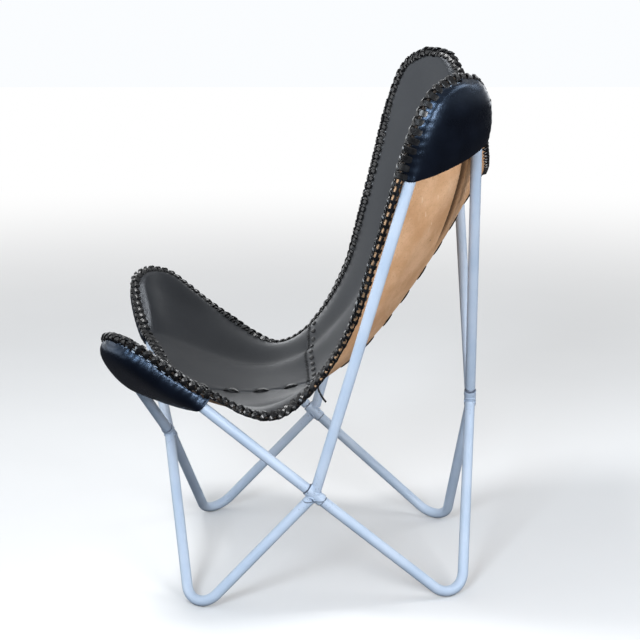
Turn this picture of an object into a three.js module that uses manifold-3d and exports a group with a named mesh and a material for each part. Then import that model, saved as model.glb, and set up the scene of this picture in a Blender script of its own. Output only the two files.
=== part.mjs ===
// Butterfly sling chair. Four tip bows and four foot bows of bent tube meet at
// four sleeved crossings, and a laced leather sling hangs from the four tips.
// Millimetres, +Z up, the chair faces -Y, the floor is z = 0, x = 0 is the mirror plane.

import * as THREE from 'three';
import { mergeVertices } from 'three/addons/utils/BufferGeometryUtils.js';
import Module from 'manifold-3d';

// Frame tube
const TUBE_D = 18;
const TUBE_SIDES = 12;
const FRONT_TIP_R = 50;
const REAR_TIP_R = 60;
const FOOT_R = 40;
const BEND_STEPS = 9;

// Where the straight runs of the left half would meet if they had no bend
const FRONT_TIP_X = 305;
const FRONT_TIP_Y = -362;
const FRONT_TIP_Z = 508;
const REAR_TIP_X = 354;
const REAR_TIP_Y = 236;
const REAR_TIP_Z = 1080;
const FRONT_FOOT_X = 252;
const FRONT_FOOT_Y = -216;
const REAR_FOOT_X = 200;
const REAR_FOOT_Y = 240;

// Crossings of the runs
const SIDE_CROSS_X = 247;
const SIDE_CROSS_Y = -10;
const SIDE_CROSS_Z = 198;
const FRONT_CROSS_Y = -268;
const FRONT_CROSS_Z = 232;
const BACK_CROSS_Y = 266;
const BACK_CROSS_Z = 295;

// Crossing sleeves and the pins that join the tip bows to them
const SLEEVE_D = 21;
const SLEEVE_L = 34;
const SLEEVE_CHAMFER = 1.2;
const SLEEVE_SIDES = 18;
const PIN_D = 12;
const PIN_FIT = 0.4;
const PIN_IN_TUBE = 20;
const PIN_IN_SLEEVE = 26;
const SIDE_NECK = 1.4;
const FRONT_NECK = 1.4;
const BACK_NECK = 5;
const WELD_GAP = 0.4;

// Leather sling: sheet, tip pockets and lacing
const SHEET_T = 4;
const SHEET_CLEAR = 1.6;
const EDGE_OUT_SIDE = 14;
const EDGE_OUT_LIP = 19;
const EDGE_OUT_TOP = 27;
const TOP_EDGE_DROP = 6;
const SEAM_GAP = 1;
const POCKET_T = 2.6;
const POCKET_FIT = 0.15;
const POCKET_WRAP = 3.2;
const WRAP_STEPS = 3;
const LACE_T = 2.4;
const LACE_LEAP = 7.5;
const LACE_FIT = 1.9;
const LACE_END_GAP = 2.4;

// Sling centre line, front lip to top
const FRONT_LIP_Y = -270;
const FRONT_LIP_Z = 331;
const SEAT_LOW_Y = -106;
const SEAT_LOW_Z = 304;
const SEAM_Y = -20;
const SEAM_Z = 321;
const TOP_DIP_Y = 280;
const TOP_DIP_Z = 703;

// Sling side edge between the pockets
const SIDE_LOW_X = 249;
const SIDE_LOW_Y = -78;
const SIDE_LOW_Z = 330;
const SEAM_EDGE_X = 229;
const SEAM_EDGE_Y = -13;
const SEAM_EDGE_Z = 373;
const DISH = 1.7;
const SHEET_FALL = 0.6;

// Lip between the pockets: rise over the run at the mouth and where the lip starts to leave it
const SIDE_MOUTH_LIFT = 9;
const LIP_MOUTH_LIFT = 7;
const LIP_LEAVES = 205;
const LIP_LEAVES_LIFT = 1;

// How the leather hangs off a straight line: parameter, share of the way, offsets
const SIDE_HANG = [[0.55, 0.3, -13, 22, -4], [0.66, 0.635, -9, 13, -2]];
const LIP_HANG = [0.22, 0.45, 0, 6, -4];
const TOP_HANG = [0.25, 0.5, 0, 5, -17];
const SEAT_HANG = [[0.1, 0.25, 0, 0, -7], [0.2, 0.54, 0, 0, -10]];
const BACK_HANG = [[0.55, 0.26, 0, 6, -41], [0.66, 0.5, 0, 5, -46]];
const CREST_HANG = [[0.78, 0.74, 0, 5, -28], [0.9, 0.9, 0, 1, -10]];

// Pocket mouths, measured down each run from the place where the runs would meet
const FRONT_MOUTH_SIDE = 230;
const FRONT_MOUTH_FRONT = 226;
const REAR_MOUTH_SIDE = 368;
const REAR_MOUTH_BACK = 334;

// Seam lacing and the loose end of the lace
const SEAM_LACE_W = 7;
const CROSS_LACE_W = 12;
const SEAM_LACE_T = 1.8;
const SEAT_LACE_LIFT = 1.3;
const BACK_LACE_LIFT = 0.6;
const CROSS_LACE_LIFT = 2.2;
const TAIL_L = 30;
const TAIL_DRIFT = 13;
const TAIL_BOW = 4;
const TAIL_V = 0.008;
const TAIL_W = 4;
const TAIL_T = 1.8;
const TAIL_CLEAR = 1.7;
const TAIL_DROP = 0.85;

const R = TUBE_D / 2;
const SHEET_OFF = R + SHEET_CLEAR + SHEET_T / 2;

const V = (x, y, z) => new THREE.Vector3(x, y, z);
const mix = (a, b, t) => a.clone().lerp(b, t);
const along = (a, d, s) => a.clone().addScaledVector(d, s);
const toward = (a, b) => b.clone().sub(a).normalize();
const mirrored = (p) => V(-p.x, p.y, p.z);

const frameBlue = new THREE.MeshStandardMaterial({ color: 0xa3b6d6, roughness: 0.45, metalness: 0.1 });
const steel = new THREE.MeshStandardMaterial({ color: 0xb9c3d2, roughness: 0.4, metalness: 0.7 });
const leather = new THREE.MeshStandardMaterial({ color: 0x26272b, roughness: 0.5, metalness: 0 });
const pocketLeather = new THREE.MeshStandardMaterial({ color: 0x111318, roughness: 0.3, metalness: 0 });
const lace = new THREE.MeshStandardMaterial({ color: 0x15151a, roughness: 0.55, metalness: 0 });

const wasm = await Module();
wasm.setup();

// Solids: join and cut of closed meshes
function plain(geometry) {
  const copy = geometry.clone();
  copy.deleteAttribute('normal');
  copy.deleteAttribute('uv');
  return mergeVertices(copy, 1e-4);
}

function solidOf(geometry) {
  const g = plain(geometry);
  return new wasm.Manifold(new wasm.Mesh({
    numProp: 3,
    vertProperties: Float32Array.from(g.attributes.position.array),
    triVerts: Uint32Array.from(g.index.array),
  }));
}

function geometryOf(solid) {
  const mesh = solid.getMesh();
  const g = new THREE.BufferGeometry();
  g.setAttribute('position', new THREE.BufferAttribute(Float32Array.from(mesh.vertProperties), 3));
  g.setIndex(Array.from(mesh.triVerts));
  g.computeVertexNormals();
  return g;
}

function rod(from, to, radius, sides) {
  const g = new THREE.CylinderGeometry(radius, radius, from.distanceTo(to), sides);
  const turn = new THREE.Quaternion().setFromUnitVectors(V(0, 1, 0), toward(from, to));
  const mid = mix(from, to, 0.5);
  g.applyQuaternion(turn);
  g.translate(mid.x, mid.y, mid.z);
  return g;
}

// A bow: straight run, bend, straight run, given by stations along its centre line
class BowPath extends THREE.Curve {
  constructor(stations) {
    super();
    this.stations = stations;
  }
  at(u) {
    return this.stations[Math.round(u * (this.stations.length - 1))];
  }
  getPoint(u) {
    return this.at(u).point.clone();
  }
  getPointAt(u) {
    return this.getPoint(u);
  }
  getTangent(u) {
    return this.at(u).tangent.clone();
  }
  getTangentAt(u) {
    return this.getTangent(u);
  }
}

// The bend where the runs vertex-a and vertex-b meet: its centre, half angle and directions
function bend(vertex, a, b, radius) {
  const toA = toward(vertex, a);
  const toB = toward(vertex, b);
  const half = toA.angleTo(toB) / 2;
  const into = toA.clone().add(toB).normalize();
  const across = toA.clone().sub(toB).normalize();
  const centre = along(vertex, into, radius / Math.sin(half));
  const sweep = Math.PI / 2 - half;
  const tangentAt = radius / Math.tan(half);
  return { vertex, toA, toB, half, into, across, centre, sweep, tangentAt, radius };
}

// Point of the bend at an angle from its apex, positive toward run a, at a chosen radius
function onBend(k, angle, radius) {
  const p = along(k.centre, k.into, -radius * Math.cos(angle));
  return p.addScaledVector(k.across, radius * Math.sin(angle));
}

function bowStations(k, a, b) {
  const list = [{ point: a.clone(), tangent: k.toA.clone().negate() }];
  for (let i = 0; i <= BEND_STEPS; i += 1) {
    const angle = k.sweep * (1 - 2 * i / BEND_STEPS);
    const tangent = k.into.clone().multiplyScalar(-Math.sin(angle));
    tangent.addScaledVector(k.across, -Math.cos(angle));
    list.push({ point: onBend(k, angle, k.radius), tangent });
  }
  list.push({ point: b.clone(), tangent: k.toB.clone() });
  return list;
}

function bow(k, a, b) {
  const stations = bowStations(k, a, b);
  const ring = [];
  for (let i = 0; i < TUBE_SIDES; i += 1) {
    const t = (i + 0.5) / TUBE_SIDES * 2 * Math.PI;
    ring.push(new THREE.Vector2(R * Math.cos(t), R * Math.sin(t)));
  }
  const steps = stations.length - 1;
  return new THREE.ExtrudeGeometry(new THREE.Shape(ring), { steps, extrudePath: new BowPath(stations) });
}

// Lowest point of a bend's centre line
function lowest(k) {
  let z = Infinity;
  for (let i = 0; i <= BEND_STEPS; i += 1) {
    z = Math.min(z, onBend(k, k.sweep * (1 - 2 * i / BEND_STEPS), k.radius).z);
  }
  return z;
}

// A foot's bend, let down until the tube stands on the floor
function footBend(x, y, a, b) {
  let z = 0;
  for (let i = 0; i < 12; i += 1) {
    z += R - lowest(bend(V(x, y, z), a, b, FOOT_R));
  }
  return bend(V(x, y, z), a, b, FOOT_R);
}

const sideCross = V(SIDE_CROSS_X, SIDE_CROSS_Y, SIDE_CROSS_Z);
const frontCross = V(0, FRONT_CROSS_Y, FRONT_CROSS_Z);
const backCross = V(0, BACK_CROSS_Y, BACK_CROSS_Z);
const frontTip = bend(V(FRONT_TIP_X, FRONT_TIP_Y, FRONT_TIP_Z), sideCross, frontCross, FRONT_TIP_R);
const rearTip = bend(V(REAR_TIP_X, REAR_TIP_Y, REAR_TIP_Z), sideCross, backCross, REAR_TIP_R);
const frontFoot = footBend(FRONT_FOOT_X, FRONT_FOOT_Y, sideCross, frontCross);
const rearFoot = footBend(REAR_FOOT_X, REAR_FOOT_Y, sideCross, backCross);

const mirrorBend = (k) => ({
  ...k,
  vertex: mirrored(k.vertex),
  toA: mirrored(k.toA),
  toB: mirrored(k.toB),
  into: mirrored(k.into),
  across: mirrored(k.across),
  centre: mirrored(k.centre),
});

// Each crossing: a sleeve in line with the tip run that is pinned into it
const crossings = {
  left: { at: sideCross, axis: toward(sideCross, frontTip.vertex), neck: SIDE_NECK },
  right: { at: mirrored(sideCross), axis: mirrored(toward(sideCross, frontTip.vertex)), neck: SIDE_NECK },
  front: { at: frontCross, axis: toward(frontCross, frontTip.vertex), neck: FRONT_NECK },
  back: { at: backCross, axis: toward(backCross, rearTip.vertex), neck: BACK_NECK },
};

const chair = new THREE.Group();

function piece(name, geometry, material) {
  const mesh = new THREE.Mesh(geometry, material);
  mesh.name = name;
  chair.add(mesh);
}

// How a run ends at a crossing: pinned in line, butted on the sleeve's far end, or coped to its side
function runEnd(crossing, join) {
  if (join === 'pin') {
    return along(crossing.at, crossing.axis, SLEEVE_L / 2 + crossing.neck);
  }
  return crossing.at.clone();
}

function trim(solid, crossing, join) {
  const { at, axis, neck } = crossing;
  if (join === 'pin') {
    const mouth = along(at, axis, SLEEVE_L / 2 + neck - 1);
    const floor = along(at, axis, SLEEVE_L / 2 + neck + PIN_IN_TUBE + PIN_FIT);
    return solid.subtract(solidOf(rod(mouth, floor, PIN_D / 2 + PIN_FIT, TUBE_SIDES)));
  }
  if (join === 'butt') {
    const face = along(at, axis, -SLEEVE_L / 2 - WELD_GAP);
    return solid.subtract(solidOf(rod(face, along(at, axis, SLEEVE_L), SLEEVE_D, TUBE_SIDES)));
  }
  const low = along(at, axis, -SLEEVE_L);
  const high = along(at, axis, SLEEVE_L);
  return solid.subtract(solidOf(rod(low, high, SLEEVE_D / 2 + WELD_GAP, SLEEVE_SIDES * 2)));
}

function bowPiece(name, k, ends) {
  const [a, b] = ends;
  const body = bow(k, runEnd(crossings[a.cross], a.join), runEnd(crossings[b.cross], b.join));
  let solid = trim(solidOf(body), crossings[a.cross], a.join);
  solid = trim(solid, crossings[b.cross], b.join);
  piece(name, geometryOf(solid), frameBlue);
}

const end = (cross, join) => ({ cross, join });
bowPiece('front_left_tip_bow', frontTip, [end('left', 'pin'), end('front', 'pin')]);
bowPiece('front_right_tip_bow', mirrorBend(frontTip), [end('right', 'pin'), end('front', 'cope')]);
bowPiece('rear_left_tip_bow', rearTip, [end('left', 'cope'), end('back', 'pin')]);
bowPiece('rear_right_tip_bow', mirrorBend(rearTip), [end('right', 'cope'), end('back', 'cope')]);
bowPiece('front_left_foot_bow', frontFoot, [end('left', 'cope'), end('front', 'cope')]);
bowPiece('front_right_foot_bow', mirrorBend(frontFoot), [end('right', 'cope'), end('front', 'butt')]);
bowPiece('rear_left_foot_bow', rearFoot, [end('left', 'butt'), end('back', 'cope')]);
bowPiece('rear_right_foot_bow', mirrorBend(rearFoot), [end('right', 'butt'), end('back', 'butt')]);

for (const [side, c] of Object.entries(crossings)) {
  const bore = PIN_D / 2 + PIN_FIT;
  const outer = SLEEVE_D / 2;
  const top = SLEEVE_L / 2;
  const profile = [
    new THREE.Vector2(bore, -top),
    new THREE.Vector2(outer - SLEEVE_CHAMFER, -top),
    new THREE.Vector2(outer, -top + SLEEVE_CHAMFER),
    new THREE.Vector2(outer, top - SLEEVE_CHAMFER),
    new THREE.Vector2(outer - SLEEVE_CHAMFER, top),
    new THREE.Vector2(bore, top),
    new THREE.Vector2(bore, -top),
  ];
  const sleeve = plain(new THREE.LatheGeometry(profile, SLEEVE_SIDES));
  const turn = new THREE.Quaternion().setFromUnitVectors(V(0, 1, 0), c.axis);
  sleeve.applyQuaternion(turn);
  sleeve.translate(c.at.x, c.at.y, c.at.z);
  piece(`${side}_cross_sleeve`, sleeve, frameBlue);
  const low = along(c.at, c.axis, top - PIN_IN_SLEEVE);
  const high = along(c.at, c.axis, top + c.neck + PIN_IN_TUBE);
  piece(`${side}_cross_pin`, rod(low, high, PIN_D / 2, TUBE_SIDES), steel);
}

// A smooth curve through points given at chosen parameters
// Where it starts on the mirror plane it starts square to it
function through(list, crossesMirror) {
  const slope = list.map(([t, p], i) => {
    const [t0, p0] = list[Math.max(i - 1, 0)];
    const [t1, p1] = list[Math.min(i + 1, list.length - 1)];
    return p1.clone().sub(p0).multiplyScalar(1 / (t1 - t0));
  });
  if (crossesMirror) slope[0].set(slope[0].x, 0, 0);
  return (t) => {
    let i = 0;
    while (i < list.length - 2 && t > list[i + 1][0]) i += 1;
    const [t0, p0] = list[i];
    const [t1, p1] = list[i + 1];
    const span = t1 - t0;
    const s = (t - t0) / span;
    const out = p0.clone().multiplyScalar(2 * s ** 3 - 3 * s ** 2 + 1);
    out.addScaledVector(slope[i], (s ** 3 - 2 * s ** 2 + s) * span);
    out.addScaledVector(p1, -2 * s ** 3 + 3 * s ** 2);
    return out.addScaledVector(slope[i + 1], (s ** 3 - s ** 2) * span);
  };
}

// Inner side of a tip's plane: the side that faces the sitter
const inner = (k) => {
  const n = k.across.clone().cross(k.into).normalize();
  return n.x > 0 ? n.negate() : n;
};
const frontIn = inner(frontTip);
const rearIn = inner(rearTip);

// Sheet edge round a tip, and beside a run at a distance from the vertex
function roundTip(k, n, share) {
  const out = EDGE_OUT_LIP + (EDGE_OUT_SIDE - EDGE_OUT_LIP) * (share + 1) / 2;
  const past = k === rearTip ? Math.max(0, -share) : 0;
  const wide = out + (EDGE_OUT_TOP - EDGE_OUT_LIP) * past;
  return along(onBend(k, k.sweep * share, k.radius + wide), n, SHEET_OFF - TOP_EDGE_DROP * past);
}
function besideRun(k, n, run, distance, lift) {
  const d = run === 'a' ? k.toA : k.toB;
  const other = run === 'a' ? k.toB : k.toA;
  const out = other.clone().addScaledVector(d, -other.dot(d)).normalize().negate();
  const lipMargin = k === rearTip ? EDGE_OUT_TOP : EDGE_OUT_LIP;
  const margin = run === 'a' ? EDGE_OUT_SIDE : lipMargin;
  const p = along(k.vertex, d, distance);
  return p.addScaledVector(out, margin).addScaledVector(n, SHEET_OFF + lift);
}

// A knot of an edge that hangs off the straight line between two points
function hung(a, b, [at, share, x, y, z]) {
  return [at, mix(a, b, share).add(V(x, y, z))];
}

// The four edges of the sling's left half: front lip, side, top and centre line
const FRONT_RUN_V = 0.1;
const FRONT_MOUTH_V = 0.2;
const SIDE_LOW_V = 0.35;
const SEAM_V = 0.45;
const REAR_MOUTH_V = 0.78;
const REAR_RUN_V = 0.9;
const MOUTH_U = 0.5;
const RUN_U = 0.8;
const HEM_U = 0.045;
const HEM_V = 0.014;

const rearMouthEdge = besideRun(rearTip, rearIn, 'a', REAR_MOUTH_SIDE, 0);
const seamEdge = V(SEAM_EDGE_X, SEAM_EDGE_Y, SEAM_EDGE_Z);
const frontMouthEdge = besideRun(frontTip, frontIn, 'a', FRONT_MOUTH_SIDE, SIDE_MOUTH_LIFT);
const sideEdge = through([
  [0, roundTip(frontTip, frontIn, 0)],
  [FRONT_RUN_V / 2, roundTip(frontTip, frontIn, 0.5)],
  [FRONT_RUN_V, roundTip(frontTip, frontIn, 1)],
  [FRONT_MOUTH_V, frontMouthEdge],
  [SIDE_LOW_V, V(SIDE_LOW_X, SIDE_LOW_Y, SIDE_LOW_Z)],
  [SEAM_V, seamEdge],
  ...SIDE_HANG.map((at) => hung(seamEdge, rearMouthEdge, at)),
  [REAR_MOUTH_V, rearMouthEdge],
  [REAR_RUN_V, roundTip(rearTip, rearIn, 1)],
  [(1 + REAR_RUN_V) / 2, roundTip(rearTip, rearIn, 0.5)],
  [1, roundTip(rearTip, rearIn, 0)],
]);
const frontLip = V(0, FRONT_LIP_Y, FRONT_LIP_Z);
const frontMouthLip = besideRun(frontTip, frontIn, 'b', FRONT_MOUTH_FRONT, LIP_MOUTH_LIFT);
const frontEdge = through([
  [0, frontLip],
  hung(frontLip, frontMouthLip, LIP_HANG),
  [MOUTH_U, frontMouthLip],
  [0.66, besideRun(frontTip, frontIn, 'b', LIP_LEAVES, LIP_LEAVES_LIFT)],
  [RUN_U, roundTip(frontTip, frontIn, -1)],
  [0.9, roundTip(frontTip, frontIn, -0.5)],
  [1, roundTip(frontTip, frontIn, 0)],
], true);
const topDip = V(0, TOP_DIP_Y, TOP_DIP_Z);
const rearMouthTop = besideRun(rearTip, rearIn, 'b', REAR_MOUTH_BACK, -TOP_EDGE_DROP);
const topEdge = through([
  [0, topDip],
  hung(topDip, rearMouthTop, TOP_HANG),
  [MOUTH_U, rearMouthTop],
  [RUN_U, roundTip(rearTip, rearIn, -1)],
  [0.9, roundTip(rearTip, rearIn, -0.5)],
  [1, roundTip(rearTip, rearIn, 0)],
], true);
const seatLow = V(0, SEAT_LOW_Y, SEAT_LOW_Z);
const seamMid = V(0, SEAM_Y, SEAM_Z);
const centreLine = through([
  [0, frontLip],
  ...SEAT_HANG.map((at) => hung(frontLip, seatLow, at)),
  [SIDE_LOW_V, seatLow],
  [SEAM_V, seamMid],
  ...[...BACK_HANG, ...CREST_HANG].map((at) => hung(seamMid, topDip, at)),
  [1, topDip],
]);

// Sling surface: the four edges blended, dished across the middle
function sling(u, v) {
  const edge = sideEdge(v);
  const mid = centreLine(v);
  const front = frontEdge(u);
  const top = topEdge(u);
  const out = V(0, 0, 0);
  for (const c of ['x', 'y', 'z']) {
    const a = c === 'x' ? u : u ** DISH;
    const lipBow = front[c] - (frontLip[c] + (sideEdge(0)[c] - frontLip[c]) * a);
    const topBow = top[c] - (topDip[c] + (sideEdge(1)[c] - topDip[c]) * a);
    out[c] = mid[c] + (edge[c] - mid[c]) * a + lipBow * (1 - v) ** 2 + topBow * v ** 2;
  }
  return out;
}

// A sheet point held on the sitter's side of a tip's tube, full height over the tube, less farther off
function overTube(p, k, n) {
  const from = p.clone().sub(k.vertex);
  const height = from.dot(n);
  const flat = along(from, n, -height);
  const around = along(p, n, -height).sub(k.centre);
  const angle = Math.atan2(around.dot(k.across), -around.dot(k.into));
  const run = angle > 0 ? k.toA : k.toB;
  let off = Math.abs(around.length() - k.radius);
  if (Math.abs(angle) > k.sweep) off = along(flat, run, -flat.dot(run)).length();
  const need = SHEET_OFF - SHEET_FALL * Math.max(0, off - EDGE_OUT_LIP);
  return height < need ? along(p, n, need - height) : p;
}

// A sheet of given thickness from an open surface of points and triangles
function thicken(points, faces, thickness) {
  const normal = points.map(() => V(0, 0, 0));
  for (const [a, b, c] of faces) {
    const n = points[b].clone().sub(points[a]).cross(points[c].clone().sub(points[a]));
    for (const i of [a, b, c]) normal[i].add(n);
  }
  points.forEach((p, i) => {
    if (Math.abs(p.x) <= SEAM_GAP / 2) normal[i].x = 0;
  });
  const position = [];
  for (const side of [0.5, -0.5]) {
    points.forEach((p, i) => {
      const q = along(p, normal[i].clone().normalize(), side * thickness);
      position.push(q.x, q.y, q.z);
    });
  }
  const count = points.length;
  const index = [];
  const edges = new Map();
  for (const [a, b, c] of faces) {
    index.push(a, b, c, a + count, c + count, b + count);
    for (const [i, j] of [[a, b], [b, c], [c, a]]) {
      edges.set(`${i},${j}`, [i, j]);
    }
  }
  for (const [i, j] of edges.values()) {
    if (!edges.has(`${j},${i}`)) {
      index.push(i, i + count, j, j, i + count, j + count);
    }
  }
  const g = new THREE.BufferGeometry();
  g.setAttribute('position', new THREE.BufferAttribute(Float32Array.from(position), 3));
  g.setIndex(index);
  g.computeVertexNormals();
  return g;
}

// The same sheet on the other side of the mirror plane
function mirrorSheet(points, faces) {
  return [points.map(mirrored), faces.map(([a, b, c]) => [a, c, b])];
}

const spread = (from, to, count) => {
  const list = [];
  for (let i = 0; i <= count; i += 1) list.push(from + (to - from) * i / count);
  return list;
};
const stationsU = [...spread(0, 1 - HEM_U, 9), 1];
const seatV = [0, ...spread(HEM_V, FRONT_RUN_V, 3), ...spread(FRONT_RUN_V, SEAM_V, 10).slice(1)];
const backV = [...spread(SEAM_V, REAR_RUN_V, 12), ...spread(REAR_RUN_V, 1 - HEM_V, 3).slice(1), 1];

// Sheet points of one panel, kept clear of the seams by half the seam gap
function panelGrid(rows, seamRow) {
  return rows.map((v, j) => stationsU.map((u, i) => {
    let p = overTube(sling(u, v), frontTip, frontIn);
    p = overTube(p, rearTip, rearIn);
    if (i === 0) p.x = SEAM_GAP / 2;
    if (j === seamRow) {
      const step = sling(u, v + (seamRow === 0 ? 0.01 : -0.01)).sub(sling(u, v)).normalize();
      p.addScaledVector(step, SEAM_GAP / 2);
    }
    return p;
  }));
}

function gridFaces(rowCount, columnCount) {
  const faces = [];
  for (let j = 0; j < rowCount - 1; j += 1) {
    for (let i = 0; i < columnCount - 1; i += 1) {
      const a = j * columnCount + i;
      const b = a + 1;
      const c = a + columnCount;
      faces.push([a, b, c + 1], [a, c + 1, c]);
    }
  }
  return faces;
}

const seatGrid = panelGrid(seatV, seatV.length - 1);
const backGrid = panelGrid(backV, 0);
for (const [part, grid] of [['seat', seatGrid], ['back', backGrid]]) {
  const points = grid.flat();
  const faces = gridFaces(grid.length, stationsU.length);
  piece(`${part}_left_panel`, thicken(points, faces, SHEET_T), leather);
  piece(`${part}_right_panel`, thicken(...mirrorSheet(points, faces), SHEET_T), leather);
}

// Tip pockets: from the sheet's edge round the outside of the tube to the pocket's middle
function pocket(name, k, n, reach, edgeA, edgeB) {
  const wrap = R + POCKET_WRAP;
  const under = SHEET_T / 2 + LACE_FIT + LACE_T + POCKET_FIT + POCKET_T / 2;
  const shares = [0, 0.18, 0.38, 0.6, 0.8, 1];
  const steps = 5;
  const points = [];
  const faces = [];
  const seen = new Map();
  const put = (key, p) => {
    if (!seen.has(key)) {
      seen.set(key, points.length);
      points.push(p);
    }
    return seen.get(key);
  };
  const columns = shares.map((s) => ({ bendShare: s, runShare: 0 }));
  for (let i = 1; i <= steps; i += 1) columns.push({ bendShare: 1, runShare: i / steps });
  const onTube = (side, col) => {
    if (col.runShare === 0) return onBend(k, side * k.sweep * col.bendShare, k.radius);
    const run = side > 0 ? k.toA : k.toB;
    const length = (side > 0 ? reach.a : reach.b) - k.tangentAt;
    return along(k.vertex, run, k.tangentAt + length * col.runShare);
  };
  const outOf = (side, col) => {
    const angle = side * k.sweep * col.bendShare;
    const o = k.into.clone().multiplyScalar(-Math.cos(angle));
    return o.addScaledVector(k.across, Math.sin(angle));
  };
  const rows = [];
  columns.forEach((col, j) => {
    const tubes = { 1: onTube(1, col), '-1': onTube(-1, col) };
    const spine = mix(tubes[1], tubes[-1], 0.5).addScaledVector(n, -wrap + 1);
    if (j === 0) spine.addScaledVector(k.into, 4);
    for (const side of [1, -1]) {
      const o = outOf(side, col);
      const edge = side > 0 ? edgeA(col) : edgeB(col);
      const line = [along(edge, o, -1).addScaledVector(n, -under)];
      for (let t = 0; t <= WRAP_STEPS; t += 1) {
        const r = t / WRAP_STEPS * Math.PI / 2;
        line.push(along(tubes[side], o, wrap * Math.cos(r)).addScaledVector(n, -wrap * Math.sin(r)));
      }
        line.push(mix(line[WRAP_STEPS + 1], spine, 0.5), spine);
      rows.push({ side, j, line });
    }
  });
  const last = WRAP_STEPS + 3;
  const id = (side, j, r) => {
    const s = j === 0 || r === last ? 1 : side;
    const row = rows.find((q) => q.side === s && q.j === j);
    return put(`${s},${j},${r}`, row.line[r]);
  };
  for (const side of [1, -1]) {
    for (let j = 0; j < columns.length - 1; j += 1) {
      for (let r = 0; r < last; r += 1) {
        const quad = [id(side, j, r), id(side, j + 1, r), id(side, j + 1, r + 1), id(side, j, r + 1)];
        if (side < 0) quad.reverse();
        faces.push([quad[0], quad[1], quad[2]], [quad[0], quad[2], quad[3]]);
      }
    }
  }
  const left = thicken(points, faces, POCKET_T);
  const right = thicken(...mirrorSheet(points, faces), POCKET_T);
  piece(name.replace('SIDE', 'left'), left, pocketLeather);
  piece(name.replace('SIDE', 'right'), right, pocketLeather);
}

pocket(
  'front_SIDE_pocket', frontTip, frontIn, { a: FRONT_MOUTH_SIDE, b: FRONT_MOUTH_FRONT },
  (col) => sideEdge(FRONT_RUN_V * col.bendShare + (FRONT_MOUTH_V - FRONT_RUN_V) * col.runShare),
  (col) => frontEdge(1 - (1 - RUN_U) * col.bendShare - (RUN_U - MOUTH_U) * col.runShare),
);
pocket(
  'rear_SIDE_pocket', rearTip, rearIn, { a: REAR_MOUTH_SIDE, b: REAR_MOUTH_BACK },
  (col) => sideEdge(1 - (1 - REAR_RUN_V) * col.bendShare - (REAR_RUN_V - REAR_MOUTH_V) * col.runShare),
  (col) => topEdge(1 - (1 - RUN_U) * col.bendShare - (RUN_U - MOUTH_U) * col.runShare),
);

// Edge lacing: a wrapped binding whose two legs hold the sheet's edge between them
const laceIn = SHEET_T / 2 + LACE_FIT;
const laceOut = laceIn + LACE_T;
const laceSection = [
  [-LACE_LEAP, laceIn],
  [LACE_FIT, laceIn],
  [LACE_FIT, -laceIn],
  [-LACE_LEAP, -laceIn],
  [-LACE_LEAP + 1, -laceOut],
  [LACE_FIT + 0.6, -laceOut],
  [LACE_FIT + LACE_T, 0],
  [LACE_FIT + 0.6, laceOut],
  [-LACE_LEAP + 1, laceOut],
];

// One length of lacing along edge points, each with the next sheet point inward
function laceLength(edge, inward, shape) {
  const position = [];
  const index = [];
  const asDrawn = shape.map(([a, b]) => new THREE.Vector2(a, b));
  const section = THREE.ShapeUtils.isClockWise(asDrawn) ? shape.slice().reverse() : shape;
  const count = section.length;
  edge.forEach((p, i) => {
    const before = edge[Math.max(i - 1, 0)];
    const after = edge[Math.min(i + 1, edge.length - 1)];
    const t = toward(before, after);
    const out = p.clone().sub(inward[i]);
    out.addScaledVector(t, -out.dot(t)).normalize();
    const n = t.clone().cross(out);
    for (const [a, b] of section) {
      const q = along(p, out, a).addScaledVector(n, b);
      position.push(q.x, q.y, q.z);
    }
  });
  for (let i = 0; i < edge.length - 1; i += 1) {
    for (let k = 0; k < count; k += 1) {
      const a = i * count + k;
      const b = i * count + (k + 1) % count;
      index.push(a, b, b + count, a, b + count, a + count);
    }
  }
  const outline = section.map(([a, b]) => new THREE.Vector2(a, b));
  for (const face of THREE.ShapeUtils.triangulateShape(outline, [])) {
    index.push(face[0], face[2], face[1]);
    const shift = (edge.length - 1) * count;
    index.push(face[0] + shift, face[1] + shift, face[2] + shift);
  }
  const g = new THREE.BufferGeometry();
  g.setAttribute('position', new THREE.BufferAttribute(Float32Array.from(position), 3));
  g.setIndex(index);
  const solid = solidOf(g);
  if (solid.volume() < 0) {
    for (let i = 0; i < index.length; i += 3) [index[i], index[i + 1]] = [index[i + 1], index[i]];
    g.setIndex(index);
  }
  g.computeVertexNormals();
  return g;
}

const lastU = stationsU.length - 1;
const column = (i) => [...seatGrid, ...backGrid].map((row) => row[i]);
const shorten = (edge) => {
  edge[0] = along(edge[0], toward(edge[0], edge[1]), LACE_END_GAP);
  const z = edge.length - 1;
  edge[z] = along(edge[z], toward(edge[z], edge[z - 1]), LACE_END_GAP);
  return edge;
};
const leftEdge = shorten(column(lastU));
const leftInner = column(lastU - 1);
piece('left_edge_lacing', laceLength(leftEdge, leftInner, laceSection), lace);
piece('right_edge_lacing', laceLength(leftEdge.map(mirrored), leftInner.map(mirrored), laceSection), lace);

const bothSides = (row) => [...row.slice().reverse().map(mirrored), ...row];
const lipEdge = shorten(bothSides(seatGrid[0]));
piece('front_edge_lacing', laceLength(lipEdge, bothSides(seatGrid[1]), laceSection), lace);
const crestEdge = shorten(bothSides(backGrid[backGrid.length - 1]));
piece('top_edge_lacing', laceLength(crestEdge, bothSides(backGrid[backGrid.length - 2]), laceSection), lace);

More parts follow.
